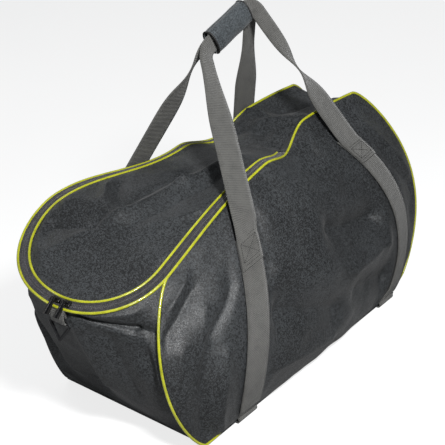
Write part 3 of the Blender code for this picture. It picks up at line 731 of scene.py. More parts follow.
def finished(name, bm, mat, smooth_angle=40.0):
    """An object at the origin from a bmesh in place."""
    mesh = bpy.data.meshes.new(name)
    bm.to_mesh(mesh)
    bm.free()
    mesh.materials.append(mat)
    mesh.shade_smooth()
    mesh.set_sharp_from_angle(angle=math.radians(smooth_angle))
    obj = bpy.data.objects.new(name, mesh)
    bpy.context.scene.collection.objects.link(obj)
    return obj


def place_in(obj, body, slot_name, *nodes):
    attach(obj, body)
    if nodes:
        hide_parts(*nodes)
    return obj


def laid_grid(columns, rows, surface, size):
    """A grid laid on surface(u, v), with a UV map in metres for its threads."""
    bm = bmesh.new()
    uv = bm.loops.layers.uv.new("cloth")
    bmesh.ops.create_grid(bm, x_segments=columns, y_segments=rows, size=0.5)
    for vert in bm.verts:
        u, v = vert.co.x + 0.5, vert.co.y + 0.5
        for loop in vert.link_loops:
            loop[uv].uv = (u * size[0], v * size[1])
    for vert in bm.verts:
        vert.co = surface(vert.co.x + 0.5, vert.co.y + 0.5)
    return bm


def thicken(obj, thickness, offset=-1.0):
    """Gives the surface a thickness, inwards unless offset says otherwise."""
    mod = obj.modifiers.new("Thickness", "SOLIDIFY")
    mod.thickness = thickness
    mod.offset = offset
    mod.use_even_offset = False
    return obj


def applied(obj):
    """The object with its modifiers made part of its mesh."""
    graph = bpy.context.evaluated_depsgraph_get()
    bpy.context.view_layer.update()
    mesh = bpy.data.meshes.new_from_object(obj.evaluated_get(graph))
    obj.modifiers.clear()
    obj.data = mesh
    return obj


def ribbon(name, sections, thickness, mat, across=6, width=WEBBING_WIDTH):
    """A flat woven band through sections, each the two edge points of the band."""
    length = length_of([(a + b) / 2.0 for a, b in sections])
    last = len(sections) - 1

    def surface(u, v):
        a, b = sections[min(round(v * last), last)]
        return a.lerp(b, u)

    bm = laid_grid(across, last, surface, (width, length))
    return applied(thicken(finished(name, bm, mat), thickness, 0.0))


def tube(name, points, radius, mat):
    """A round cord swept through points, as a mesh with closed ends."""
    curve = bpy.data.curves.new(name, "CURVE")
    curve.dimensions = "3D"
    curve.bevel_depth = radius
    curve.bevel_resolution = TUBE_SIDES // 4 - 1
    curve.use_fill_caps = True
    spline = curve.splines.new("POLY")
    spline.points.add(len(points) - 1)
    for point, p in zip(spline.points, points):
        point.co = (*p, 1.0)
    held = bpy.data.objects.new(name, curve)
    bpy.context.scene.collection.objects.link(held)
    bpy.context.view_layer.update()
    mesh = bpy.data.meshes.new_from_object(held.evaluated_get(bpy.context.evaluated_depsgraph_get()))
    bpy.data.objects.remove(held)
    mesh.name = name
    mesh.materials.clear()
    mesh.materials.append(mat)
    mesh.shade_smooth()
    obj = bpy.data.objects.new(name, mesh)
    bpy.context.scene.collection.objects.link(obj)
    return obj


def frame_at(place, x_axis, z_axis):
    """A placing matrix with its X along x_axis and its Z as near z_axis as it can be."""
    x_axis = x_axis.normalized()
    z_axis = (z_axis - x_axis * z_axis.dot(x_axis)).normalized()
    y_axis = z_axis.cross(x_axis)
    return Matrix.Translation(place) @ Matrix((x_axis, y_axis, z_axis)).transposed().to_4x4()


def add_bead(bm, place, size):
    """Adds one small rounded bead, used for a stitch or a zip tooth."""
    made = bmesh.ops.create_icosphere(bm, subdivisions=1, radius=0.5)["verts"]
    bmesh.ops.scale(bm, vec=size, verts=made)
    bmesh.ops.transform(bm, matrix=place, verts=made)


def sew(bm, points, normal_at, pitch, length, width=STITCH_WIDTH):
    """Adds one row of stitches along points; normal_at gives the cloth's outward side."""
    count = max(2, round(length_of(points) / pitch))
    line = evenly(points, count * 2 + 1)
    for k in range(count):
        a, p, b = line[2 * k], line[2 * k + 1], line[2 * k + 2]
        place = frame_at(p + normal_at(p) * STITCH_LIFT, b - a, normal_at(p))
        add_bead(bm, place, (length, width, width * 0.8))


# --- Folds ------------------------------------------------------------------------------


def fold_depth(folds, u, v, size):
    """Sum of soft ridges (+) and hollows (-), each along a line across the panel."""
    total = 0.0
    p = Vector((u * size[0], v * size[1]))
    for u0, v0, u1, v1, width, depth in folds:
        a = Vector((u0 * size[0], v0 * size[1]))
        b = Vector((u1 * size[0], v1 * size[1]))
        along = b - a
        t = min(max((p - a).dot(along) / along.length_squared, 0.0), 1.0)
        off = (p - a.lerp(b, t)).length / width
        if off < FOLD_REACH:
            total += depth * math.exp(-(off**CREASE_SHARPNESS))
    return total


def rumple(place, size, depth, seed):
    """Slow irregular waves in the cloth, at a size in metres."""
    return depth * noise.noise(Vector(place) / size + Vector((seed, seed * 0.7, seed * 1.3)))


def edge_fade(u, v, size):
    """None at the panel's seams, and all of it a little way in."""
    from_edge = min(min(u, 1.0 - u) * size[0], min(v, 1.0 - v) * size[1])
    return smooth(from_edge / EDGE_FADE)


def strap_hold(side):
    """How far a side's cloth may fold: not at all where a girth strap is sewn to it."""
    def share(u, v, size):
        row = v * PANEL_ROWS / BOX_STITCH_ROW
        past_end = smooth((row - 1.0) * STRAP_HOLD_END)
        free = 1.0
        for end in ("near", "far"):
            low_u, high_u = strap_ends(end, side)
            off = abs(u - mix(low_u, high_u, min(row, 1.0))) * size[0] - STRAP_HOLD_HALF
            free *= max(smooth(off / STRAP_HOLD), past_end)
        return free
    return share


def folded(surface, out, folds, size, rumple_depth, seed, hold):
    """The surface with its folds pushed along out, and held still along its seams."""
    def shaped(u, v):
        p = surface(u, v)
        held = edge_fade(u, v, size) * (hold(u, v, size) if hold else 1.0)
        push = fold_depth(folds, u, v, size)
        push += rumple(p, RUMPLE_SIZE, rumple_depth, seed)
        push += rumple(p, FINE_RUMPLE_SIZE, rumple_depth * FINE_RUMPLE_SHARE, seed + 5.0)
        return p + out * (push * held)
    return shaped


# Each fold: where it starts and ends on the panel (shares of length and height), how
# wide it is, and how far it stands out (+) or in (-).
FRONT_FOLDS = [
    (0.01, 0.8, 0.08, 0.88, 0.009, 0.005),
    (0.01, 0.66, 0.1, 0.78, 0.009, -0.007),
    (0.12, 0.68, 0.1, 0.5, 0.013, 0.006),
    (0.13, 0.56, 0.215, 0.68, 0.009, -0.0075),
    (0.035, 0.1, 0.11, 0.5, 0.01, -0.0095),
    (0.15, 0.45, 0.075, 0.06, 0.009, 0.006),
    (0.045, 0.58, 0.03, 0.36, 0.01, 0.0055),
    (0.57, 0.6, 0.76, 0.48, 0.017, -0.024),
    (0.6, 0.42, 0.78, 0.37, 0.015, 0.012),
    (0.88, 0.66, 0.985, 0.46, 0.01, -0.006),
    (0.905, 0.84, 0.97, 0.53, 0.009, 0.0045),
    (0.29, 0.48, 0.53, 0.28, 0.02, -0.015),
    (0.29, 0.66, 0.5, 0.5, 0.03, 0.005),
    (0.3, 0.22, 0.52, 0.14, 0.014, 0.008),
    (0.64, 0.28, 0.84, 0.17, 0.018, -0.016),
    (0.43, 0.94, 0.68, 0.88, 0.012, -0.0045),
    (0.4, 0.86, 0.64, 0.76, 0.02, 0.004),
]
BACK_FOLDS = [
    (0.03, 0.7, 0.11, 0.35, 0.012, -0.007),
    (0.13, 0.62, 0.1, 0.25, 0.01, 0.006),
    (0.25, 0.8, 0.45, 0.45, 0.016, -0.006),
    (0.4, 0.9, 0.58, 0.5, 0.018, 0.005),
    (0.5, 0.6, 0.8, 0.35, 0.02, -0.007),
    (0.35, 0.25, 0.7, 0.18, 0.016, 0.005),
    (0.88, 0.75, 0.95, 0.4, 0.01, -0.005),
]
NEAR_FOLDS = [
    (0.35, 0.955, 0.16, 0.825, 0.0045, -0.01),
    (0.16, 0.825, 0.06, 0.74, 0.006, -0.005),
    (0.34, 0.985, 0.13, 0.91, 0.007, 0.005),
    (0.6, 0.93, 0.4, 0.95, 0.006, -0.006),
    (0.33, 0.925, 0.12, 0.77, 0.0022, 0.0016),
    (0.31, 0.885, 0.11, 0.74, 0.0022, 0.0014),
    (0.28, 0.85, 0.1, 0.71, 0.0022, 0.0013),
    (0.12, 0.64, 0.05, 0.16, 0.018, -0.01),
    (0.085, 0.68, 0.03, 0.4, 0.009, 0.006),
    (0.37, 0.84, 0.37, 0.4, 0.012, 0.01),
    (0.275, 0.78, 0.25, 0.4, 0.014, -0.009),
    (0.46, 0.78, 0.56, 0.25, 0.017, -0.01),
    (0.66, 0.78, 0.7, 0.25, 0.016, 0.01),
    (0.8, 0.84, 0.83, 0.3, 0.012, -0.011),
    (0.915, 0.45, 0.9, 0.12, 0.015, 0.012),
]
FAR_FOLDS = [
    (0.2, 0.75, 0.75, 0.55, 0.014, -0.006),
    (0.3, 0.45, 0.8, 0.2, 0.016, 0.006),
    (0.15, 0.35, 0.6, 0.12, 0.012, -0.005),
]
LID_FOLDS = [
    (0.93, 0.66, 0.64, 0.52, 0.009, 0.0055),
    (0.64, 0.52, 0.37, 0.42, 0.009, 0.0055),
    (0.37, 0.42, 0.17, 0.29, 0.01, 0.0055),
    (0.87, 0.82, 0.73, 0.6, 0.01, -0.007),
    (0.73, 0.6, 0.64, 0.56, 0.008, -0.005),
    (0.8, 0.88, 0.67, 0.72, 0.016, 0.006),
    (0.61, 0.86, 0.66, 0.58, 0.007, 0.005),
    (0.56, 0.82, 0.59, 0.62, 0.011, -0.006),
    (0.58, 0.58, 0.33, 0.53, 0.009, -0.0055),
    (0.66, 0.42, 0.28, 0.2, 0.013, -0.005),
    (0.62, 0.3, 0.54, 0.04, 0.016, 0.0035),
    (0.94, 0.88, 0.96, 0.62, 0.008, 0.003),
]
REAR_FOLDS = [
    (0.1, 0.16, 0.4, 0.07, 0.013, -0.011),
    (0.22, 0.62, 0.46, 0.16, 0.009, 0.007),
    (0.3, 0.96, 0.36, 0.72, 0.009, 0.01),
    (0.15, 0.8, 0.16, 0.4, 0.008, -0.007),
    (0.6, 0.75, 0.85, 0.4, 0.014, -0.007),
    (0.56, 0.4, 0.9, 0.2, 0.012, 0.005),
]


# --- Panels, seams and zip --------------------------------------------------------------


def cloth_panel(name, surface, grid, size, finish, flip=False):
    """One cloth panel as a thickened grid, turned over when its outside is the other way."""
    bm = laid_grid(*grid, surface, size)
    if flip:
        bmesh.ops.reverse_faces(bm, faces=bm.faces[:])
    return applied(thicken(finished(name, bm, finish, 80.0), CLOTH_SHOWN))


def panel_list():
    """Each panel: name, surface, folds, grid, flat size, outward, rumple, turned over, held."""
    side_size, far_size, rear_size = (0.46, 0.27), (0.15, 0.33), (0.155, 0.12)
    return (
        ("front_side", side_surface("front"), FRONT_FOLDS, (150, 96), side_size,
         (0.0, -1.0, 0.0), 0.004, False, strap_hold("front")),
        ("back_side", side_surface("back"), BACK_FOLDS, (150, 96), side_size,
         (0.0, 1.0, 0.0), 0.004, True, strap_hold("back")),
        ("near_end", near_surface(), NEAR_FOLDS, (190, 170), (0.24, 0.22),
         (-1.0, 0.0, 0.25), 0.004, True, None),
        ("far_end", far_surface(), FAR_FOLDS, (64, 100), far_size,
         (1.0, 0.0, 0.0), 0.003, False, None),
        ("rear_top", rear_top_surface(), REAR_FOLDS, (64, 56), rear_size,
         (0.0, 0.0, 1.0), 0.004, False, None),
    )


def make_panels(finishes):
    for number, (name, surface, folds, grid, size, out, depth, flip, hold) in enumerate(panel_list(), 1):
        shape = folded(surface, Vector(out), folds, size, depth, float(number), hold)
        cloth = cloth_panel(f"{name}_cloth", shape, grid, size, finishes["charcoal_cloth"], flip)
        place_in(cloth, "shell", "charcoal_cloth", f"{name}_panel")


def make_bottom(finishes):
    def surface(u, v):
        x = mix(NEAR_BOTTOM_X, FAR_BOTTOM_X, u)
        half = bottom_half(x)
        return Vector((x, mix(-half, half, v), BOTTOM_Z + CLOTH * 1.2))

    bottom = cloth_panel("bottom_cloth", surface, (60, 30), (0.43, 0.25), finishes["charcoal_cloth"])
    place_in(bottom, "shell", "charcoal_cloth", "bottom_panel")


def make_lid(finishes):
    """The lid cloth; its first stretch laps over the body's top behind the hinge."""
    size = (0.33, 0.17)
    shape = folded(lid_surface(), UP, LID_FOLDS, size, 0.0035, 6.0, None)

    def surface(u, v):
        past = u * (1.0 + LID_LAP_SHARE) - LID_LAP_SHARE
        p = shape(max(past, 0.0), v)
        if past < 0.0:
            t = -past / LID_LAP_SHARE
            p = p + Vector((LID_LAP * t, 0.0, 0.0))
            p.z = top_height(p.x, p.y) + LID_LAP_RISE
        return p

    lid = cloth_panel("lid_cloth", surface, (150, 84), size, finishes["charcoal_cloth"], True)
    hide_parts("lid_panel")
    bend_at_hinge(lid)


def bend_at_hinge(obj):
    """Bakes the piece's placing into its mesh."""
    z = top_height(HINGE_X, 0.0)
    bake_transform(obj)


def side_line(side):
    """The whole side seam: from behind the lid, round the far end, under, and up the near end."""
    behind = [p for p in top_seam(side) if p.x > HINGE_X]
    return behind + far_seam(side)[::-1][1:] + bottom_seam(side)[::-1][1:] + near_seam(side)[1:]


def tucked_under(p):
    """The side seam's cord rolls in under the body along the base."""
    low = smooth((TUCK_HEIGHT - p.z) / TUCK_HEIGHT)
    past_corner = smooth((p.x - NEAR_BOTTOM_X - TUCK_START) / TUCK_START)
    tuck = low * past_corner
    behind = smooth((CORNER_TUCK_HEIGHT - p.z) / CORNER_TUCK_FADE)
    behind *= smooth((NEAR_SEAM_X + CORNER_TUCK_LENGTH - p.x) / CORNER_TUCK_END)
    x = p.x + (CORNER_TUCK * behind if p.y > 0.0 else 0.0)
    return Vector((x, p.y - math.copysign(TUCK_IN * tuck, p.y), p.z - TUCK_DOWN * tuck))


def make_piping(finishes):
    for side in ("front", "back"):
        line = [tucked_under(p) for p in evenly(side_line(side), SIDE_CORD_POINTS)]
        cord = tube(f"{side}_seam_piping", line, SEAM_CORD, finishes["yellow_piping"])
        place_in(cord, "shell", "yellow_piping", f"{side}_side_piping")
    yellow = finishes["yellow_piping"]
    line = mouth_line(0.0, MOUTH_CORD_POINTS)
    mouth = tube("mouth_seam_piping", line, SEAM_CORD, yellow)
    place_in(mouth, "shell", "yellow_piping", "mouth_piping")
    line = mouth_line(ZIP_BAND, MOUTH_CORD_POINTS)
    lid = tube("lid_seam_piping", line, SEAM_CORD, yellow)
    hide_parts("lid_piping")
    bend_at_hinge(lid)


def zip_side(name, near_inset, far_inset, tooth_inset, lean, finishes):
    """One half of the zip: a woven tape, and a coil whose teeth lean to the other half."""
    outer, inner = (mouth_line(inset, TAPE_POINTS) for inset in (near_inset, far_inset))
    edges, width = list(zip(outer, inner)), far_inset - near_inset
    tape = ribbon(f"{name}_woven_tape", edges, TAPE, finishes["zip_tape"], 5, width)
    line = mouth_line(tooth_inset, TEETH_POINTS)
    line = evenly(line, round(length_of(line) / TOOTH_PITCH))
    bm = bmesh.new()
    for a, p, b in zip(line, line[1:], line[2:]):
        along = b - a
        across = along.cross(UP).normalized()
        place = frame_at(p + across * (lean * TOOTH_LEAN), along, UP)
        add_bead(bm, place, (TOOTH_LENGTH, TOOTH_WIDTH, ZIP_COIL_HEIGHT))
    teeth = finished(f"{name}_coil_teeth", bm, finishes["black_nylon"])
    return tape, teeth


def make_zip(finishes):
    middle = ZIP_BAND / 2.0
    tape, teeth = zip_side("mouth_zip", 0.0, middle, middle - MOUTH_TEETH_GAP, -1.0, finishes)
    place_in(tape, "shell", "zip_tape", "mouth_zip_tape")
    place_in(teeth, "shell", "black_nylon", "mouth_zip_coil")
    tape, teeth = zip_side("lid_zip", middle, ZIP_BAND, middle + MOUTH_TEETH_GAP, 1.0, finishes)
    halves = ((tape, "zip_tape", "lid_zip_tape"), (teeth, "black_nylon", "lid_zip_coil"))
    for piece, slot_name, cad_node in halves:
        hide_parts(cad_node)
        bend_at_hinge(piece)


def zip_frame(line, y):
    """Place, direction along the zip and surface normal where the tip reaches y."""
    tip = [i for i, p in enumerate(line) if p.x < NEAR_TIP_X + TIP_ROUND_LENGTH]
    i = min(tip, key=lambda k: abs(line[k].y - y))
    along = (line[i + 1] - line[i - 1]).normalized()
    p, step = line[i], SLOPE_STEP
    rise_x = (top_height(p.x + step, p.y) - top_height(p.x - step, p.y)) / (2.0 * step)
    rise_y = (top_height(p.x, p.y + step) - top_height(p.x, p.y - step)) / (2.0 * step)
    normal = Vector((-rise_x, -rise_y, 1.0)).normalized()
    return p, along, (normal - along * normal.dot(along)).normalized()


def round_edges(bm, edges, radius):
    """Rounds the given edges."""
    bmesh.ops.bevel(
        bm, geom=edges, offset=radius, segments=3, profile=0.5, affect="EDGES", material=-1
    )


def make_sliders(finishes):
    """Each slider's body with its bail, and its pull, tapered and dished."""
    metal = finishes["black_lacquer"]
    line = mouth_line(ZIP_BAND / 2.0, SLIDER_LINE_POINTS)
    middle, along, normal = zip_frame(line, SLIDER_PLACE)
    for side, sign in (("front", -1.0), ("back", 1.0)):
        lift = ZIP_COIL_HEIGHT / 2.0 + GAP + SLIDER_HEIGHT / 2.0
        place = middle + along * (sign * SLIDER_SPACING / 2.0) + normal * lift
        seat = frame_at(place, along * sign, normal)
        bm = bmesh.new()
        bmesh.ops.create_cube(bm, size=1.0)
        bmesh.ops.scale(bm, vec=(SLIDER_LENGTH, SLIDER_WIDTH, SLIDER_HEIGHT), verts=bm.verts)
        for vert in bm.verts:
            if vert.co.x < 0.0:
                vert.co.y *= SLIDER_TAIL
        round_edges(bm, bm.edges[:], SLIDER_EDGE)
        bail = bmesh.ops.create_cube(bm, size=1.0)["verts"]
        bmesh.ops.scale(bm, vec=(BAIL_LENGTH, BAIL_SHOWN_WIDTH, BAIL_HEIGHT), verts=bail)
        rise = (SLIDER_HEIGHT + BAIL_HEIGHT) / 2.0 - BAIL_SINK
        bmesh.ops.translate(bm, vec=(0.0, 0.0, rise), verts=bail)
        round_edges(bm, list({e for v in bail for e in v.link_edges}), BAIL_EDGE)
        bmesh.ops.transform(bm, matrix=seat, verts=bm.verts)
        body = finished(f"{side}_slider_body", bm, metal)
        place_in(body, f"{side}_slider_body", "black_metal", f"{side}_slider")

        hinge = place + normal * (SLIDER_HEIGHT / 2.0 + BAIL_HEIGHT)
        outward = along.cross(normal)
        if outward.x > 0.0:
            outward = -outward
        reach = (outward - normal * math.tan(PULL_DROOP)).normalized()
        face = reach.cross(along).normalized()
        if face.z < 0.0:
            face = -face
        start = BAIL_WIDTH / 2.0 + 2.0 * GAP
        centre = hinge + reach * (start + PULL_LENGTH / 2.0) + face * PULL_THICKNESS / 2.0
        bm = bmesh.new()
        bmesh.ops.create_cube(bm, size=1.0)
        bmesh.ops.scale(bm, vec=(PULL_LENGTH, PULL_WIDTH, PULL_THICKNESS), verts=bm.verts)
        bmesh.ops.subdivide_edges(bm, edges=bm.edges[:], cuts=3, use_grid_fill=True)
        for vert in bm.verts:
            t = vert.co.x / PULL_LENGTH + 0.5
            vert.co.y *= mix(PULL_NECK, 1.0, smooth(t * PULL_TAPER))
        flat = [f for f in bm.faces if abs(f.normal.z) > 0.9]
        dish = [f for f in flat if abs(f.calc_center_median().y) < PULL_DISH_WIDTH]
        bmesh.ops.inset_region(bm, faces=dish, thickness=PULL_DISH_EDGE, depth=-PULL_DISH_DEPTH)
        bmesh.ops.transform(bm, matrix=frame_at(centre, reach, face), verts=bm.verts)
        pull = finished(f"{side}_pull_plate", bm, metal, 30.0)
        place_in(pull, f"{side}_pull_body", "black_metal", f"{side}_slider_pull")


# --- Webbing ----------------------------------------------------------------------------


def strap_ends(end, side):
    """Where a girth strap crosses the bottom seam and ends, as shares of the panel's length."""
    if end == "near":
        return NEAR_STRAP_BOTTOM, NEAR_STRAP_TOP
    return FAR_STRAP_BOTTOM, FRONT_FAR_STRAP_TOP if side == "front" else BACK_FAR_STRAP_TOP


def panel_frame(surface, side, u, v):
    """Place, direction across and outward normal on a side panel."""
    across = (surface(u + 0.01, v) - surface(u - 0.01, v)).normalized()
    up = (surface(u, v + 0.02) - surface(u, max(v - 0.02, 0.0))).normalized()
    normal = across.cross(up).normalized()
    if normal.y * side_sign(side) < 0.0:
        normal = -normal
    return surface(u, v), across, normal


def strap_rows(side, end, first=1, count=BOX_STITCH_ROW, lift=0.0):
    """Edge pairs of a girth strap on a side panel, bottom row first, with finer rows between."""
    surface = side_surface(side)
    low_u, high_u = strap_ends(end, side)
    rows = []
    for place in np.linspace(first, count, 4 * (count - first) + 1):
        u = mix(low_u, high_u, place / BOX_STITCH_ROW)
        p, across, normal = panel_frame(surface, side, u, place / PANEL_ROWS)
        centre = p + normal * (SURFACE_GAP + WEBBING / 2.0 + lift)
        half = across * WEBBING_WIDTH / 2.0
        rows.append((centre - half, centre + half))
    return rows


def under_seam(side, x):
    """Edge pairs of a girth strap where it turns round the bottom seam, top one first."""
    s = side_sign(side)
    reach = SEAM_Z - WEBBING / 2.0
    edges = (x - WEBBING_WIDTH / 2.0, x + WEBBING_WIDTH / 2.0)
    pairs = []
    for angle in np.linspace(50.0, -90.0, TURN_POINTS):
        a = math.radians(angle)
        out, down = s * reach * math.cos(a), reach * math.sin(a)
        pairs.append([Vector((e, s * bottom_half(e) + out, SEAM_Z + down)) for e in edges])
    return pairs


def even_sections(sections, count):
    """Edge pairs again, evenly spaced along the band."""
    lefts, rights = [a for a, b in sections], [b for a, b in sections]
    middles = [(a + b) / 2.0 for a, b in sections]
    along = np.concatenate([[0.0], np.cumsum([(b - a).length for a, b in zip(middles, middles[1:])])])
    at = np.linspace(0.0, along[-1], count)
    made = []
    for line in (lefts, rights):
        flat = np.array([tuple(p) for p in line])
        made.append([Vector([np.interp(s, along, flat[:, k]) for k in range(3)]) for s in at])
    return list(zip(*made))


def make_girth_straps(finishes):
    for end in ("near", "far"):
        x = mix(NEAR_BOTTOM_X, FAR_BOTTOM_X, strap_ends(end, "front")[0])
        front = strap_rows("front", end)[::-1] + under_seam("front", x)
        back = strap_rows("back", end)[::-1] + under_seam("back", x)
        sections = even_sections(front + back[::-1], STRAP_SECTIONS)
        strap = ribbon(f"{end}_girth_webbing", sections, WEBBING, finishes["grey_webbing"])
        place_in(strap, "shell", "grey_webbing", f"{end}_girth_strap")


def strap_top(side, end):
    """Where a handle leaves its girth strap."""
    a, b = strap_rows(side, end)[-1]
    return (a + b) / 2.0 + Vector((0.0, side_sign(side) * LEG_STANDOFF, 0.0))


def rounded_path(corners, shoulder):
    """A path through corners, each rounded off within shoulder of it."""
    points = [corners[0]]
    for before, corner, after in zip(corners, corners[1:], corners[2:]):
        a = corner + (before - corner).normalized() * shoulder
        b = corner + (after - corner).normalized() * shoulder
        for t in np.linspace(0.0, 1.0, TURN_POINTS):
            points.append(a.lerp(corner, t).lerp(corner.lerp(b, t), t))
    return points + [corners[-1]]


def sewn_end(side, end):
    """Edge pairs of the handle's sewn end over the girth strap, lowest first."""
    rows = strap_rows(side, end, 1, BOX_STITCH_ROW, WEBBING + GAP / 2.0)
    middles = [(a + b) / 2.0 for a, b in rows]
    kept = [rows[-1]]
    for k in range(len(rows) - 2, -1, -1):
        kept.insert(0, rows[k])
        if length_of(middles[k:]) > SEWN_LENGTH[end]:
            break
    return kept


def level_end(sections, rise):
    """Turns the first sections of a leg until its end runs along the line it swings about."""
    made = list(sections)
    count = round(LEVEL_LENGTH * len(sections))
    for k in range(count):
        a, b = sections[k]
        next_a, next_b = sections[k + 1]
        along = (next_a + next_b - a - b).normalized()
        slide = (b - a).dot(rise) / 2.0 / along.dot(rise) * (1.0 - k / count)
        made[k] = (a + along * slide, b - along * slide)
    return made


def grip_axes():
    """Directions along the grip and square to it, in the upright plane of the grip."""
    c, d = math.cos(GRIP_TILT), math.sin(GRIP_TILT)
    return Vector((c, 0.0, d)), Vector((-d, 0.0, c))


def grip_point(along, y, above):
    """A point of the tilted grip, from distances along it, across the bag and above it."""
    lean, lift = grip_axes()
    return Vector((GRIP_X, y, GRIP_HEIGHT)) + lean * along + lift * above


def make_handle(side, finishes):
    """A webbing arch sewn on at both ends; its legs turn upright and narrow into the wrap."""
    near, far = strap_top(side, "near"), strap_top(side, "far")
    reach = WRAP_LENGTH / 2.0 + WRAP_CLEARANCE + HANDLE_SHOULDER
    y = side_sign(side) * GRIP_SPACING / 2.0
    grip_near, grip_far = grip_point(-reach, y, 0.0), grip_point(reach, y, 0.0)
    near_start = near + (grip_near - near).normalized() * LEG_GAP
    far_start = far + (grip_far - far).normalized() * LEG_GAP
    corners = [near_start, grip_near, grip_far, far_start]
    path = evenly(rounded_path(corners, HANDLE_SHOULDER), HANDLE_PATH_POINTS)
    axis = (far - near).normalized()
    leg_face = axis.cross(grip_near - near).normalized()
    grip_face = Vector((0.0, math.copysign(1.0, leg_face.y), 0.0))
    sections = []
    for i, p in enumerate(path):
        tangent = (path[min(i + 1, len(path) - 1)] - path[max(i - 1, 0)]).normalized()
        rise = (p.z - near.z) / (grip_near.z - near.z - HANDLE_SHOULDER)
        to_grip = smooth((rise - NARROWING_START) / (1.0 - NARROWING_START))
        face = leg_face.lerp(grip_face, to_grip).normalized()
        leg = 0 if i < len(path) / 2 else 1
        place, turn, bow = LEG_SHAPES[side][leg]
        face = Matrix.Rotation(turn * math.exp(-(((rise - place) / LEG_TURN_REACH) ** 2)), 3, tangent) @ face
        p = p + axis * (bow * math.sin(math.pi * min(max(rise, 0.0), 1.0)) ** 2)
        half = face.cross(tangent).normalized() * (mix(WEBBING_WIDTH, GRIP_WIDTH, to_grip) / 2.0)
        sections.append((p - half, p + half))
    rise = (UP - axis * axis.z).normalized()
    sections = level_end(level_end(sections, rise)[::-1], rise)[::-1]
    ends = []
    for end, first in (("near", sections[0]), ("far", sections[-1])):
        sewn = sewn_end(side, end)
        if (first[0] - first[1]).dot(sewn[0][0] - sewn[0][1]) < 0.0:
            sewn = [(b, a) for a, b in sewn]
        ends.append(sewn)
    middle = sections[HANDLE_END_TRIM:-HANDLE_END_TRIM]
    whole = ends[0][:-1] + middle + ends[1][:-1][::-1]
    whole = smoothed(even_sections(whole, HANDLE_SECTIONS), HANDLE_SMOOTHING)
    handle = ribbon(f"{side}_handle_webbing", whole, WEBBING, finishes["grey_webbing"])
    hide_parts(f"{side}_handle")
    centre = (near + far) / 2.0
    start, end = centre - rise * LEG_BEND_START, centre + rise * LEG_BEND
    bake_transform(handle)
    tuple(start)
    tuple(end)
    make_box_stitch(side, "near", finishes)
    make_box_stitch(side, "far", finishes)


def smoothed(sections, rounds):
    """Edge pairs with small kinks along the band evened out."""
    for _ in range(rounds):
        inner = [
            tuple((before[k] + here[k] * 2.0 + after[k]) / 4.0 for k in (0, 1))
            for before, here, after in zip(sections, sections[1:], sections[2:])
        ]
        sections = [sections[0], *inner, sections[-1]]
    return sections


def make_box_stitch(side, end, finishes):
    """A stitched square with a cross in it and doubled ends, on the handle's sewn end."""
    rows = sewn_end(side, end)
    lefts, rights = evenly([a for a, b in rows], 30), evenly([b for a, b in rows], 30)

    def at(u, v):
        return at_share(lefts, v).lerp(at_share(rights, v), u)

    def line(u0, v0, u1, v1):
        places = [(mix(u0, u1, t), mix(v0, v1, t) * share) for t in np.linspace(0.0, 1.0, 12)]
        return [at(u, v) + normal * WEBBING / 2.0 for u, v in places]

    share = SEWN_LENGTH["near"] / SEWN_LENGTH[end]
    normal = (at(1.0, 0.5) - at(0.0, 0.5)).cross(at(0.5, 1.0) - at(0.5, 0.0)).normalized()
    if normal.y * side_sign(side) < 0.0:
        normal = -normal
    low, high, left, right = 0.22, 0.80, 0.12, 0.88
    bm = bmesh.new()
    for ends in (
        (left, low, right, low),
        (left, low - 0.10, right, low - 0.10),
        (left, high, right, high),
        (left, high + 0.10, right, high + 0.10),
        (left, low, left, high),
        (right, low, right, high),
        (left, low, right, high),
        (left, high, right, low),
    ):
        sew(bm, line(*ends), lambda p: normal, BOX_PITCH, BOX_STITCH, BOX_STITCH_WIDTH)
    place_in(finished(f"{side}_{end}_box_stitch", bm, finishes["dark_thread"]), "shell", "grey_webbing")


# --- Wrap -------------------------------------------------------------------------------


def wrap_surface(side):
    """Half of the wrap's oval sleeve: u along the grip, v from its bottom to its top."""
    s = side_sign(side)

    def surface(u, v):
        a = mix(-math.pi / 2.0 + WRAP_SLIT, math.pi / 2.0, v)
        c, d = math.cos(a), math.sin(a)
        pinch = WRAP_PINCH * math.exp(-(((u - 0.5) / WRAP_PINCH_REACH) ** 2))
        swell = 1.0 + WRAP_SWELL * math.sin(math.pi * u) - pinch
        y = s * abs(c) ** 0.7 * WRAP_DEPTH / 2.0 * swell
        z = math.copysign(abs(d) ** 0.8, d) * WRAP_HEIGHT / 2.0 * swell
        p = grip_point(mix(-0.5, 0.5, u) * WRAP_LENGTH, y, z)
        soft = rumple(p, WRAP_RUMPLE_SIZE, WRAP_RUMPLE, WRAP_RUMPLE_SEED)
        p.y += s * soft * math.sin(math.pi * v)
        return p
    return surface


def make_wrap(finishes):
    size = (WRAP_LENGTH, WRAP_HEIGHT * 1.5)
    along = np.linspace(HEM_INSET, 1.0 - HEM_INSET, 30)
    for side, name, body, cad_node, flip in (
        ("front", "wrap_base_cloth", "front_handle_body", "wrap_base", False),
        ("back", "wrap_flap_cloth", "wrap_flap_body", "wrap_flap", True),
    ):
        surface = wrap_surface(side)
        half = cloth_panel(name, surface, (60, 48), size, finishes["slate_cloth"], flip)
        place_in(half, body, "slate_cloth", cad_node)
        hems = bmesh.new()
        for u in (0.06, 0.12, 0.94):
            sew(hems, [surface(u, v) for v in along], out_of_wrap, HEM_PITCH, HEM_STITCH)
        sew(hems, [surface(u, 0.08) for u in along], out_of_wrap, HEM_PITCH, HEM_STITCH)
        place_in(finished(f"{side}_wrap_hem_stitches", hems, finishes["dark_thread"]), body, "slate_cloth")
        for end, u in (("near", 0.004), ("far", 0.996)):
            line = [surface(u, v) for v in np.linspace(0.0, 1.0, 40)]
            hem = tube(f"{side}_wrap_{end}_binding", line, BINDING_RADIUS, finishes["dark_thread"])
            place_in(hem, body, "slate_cloth")


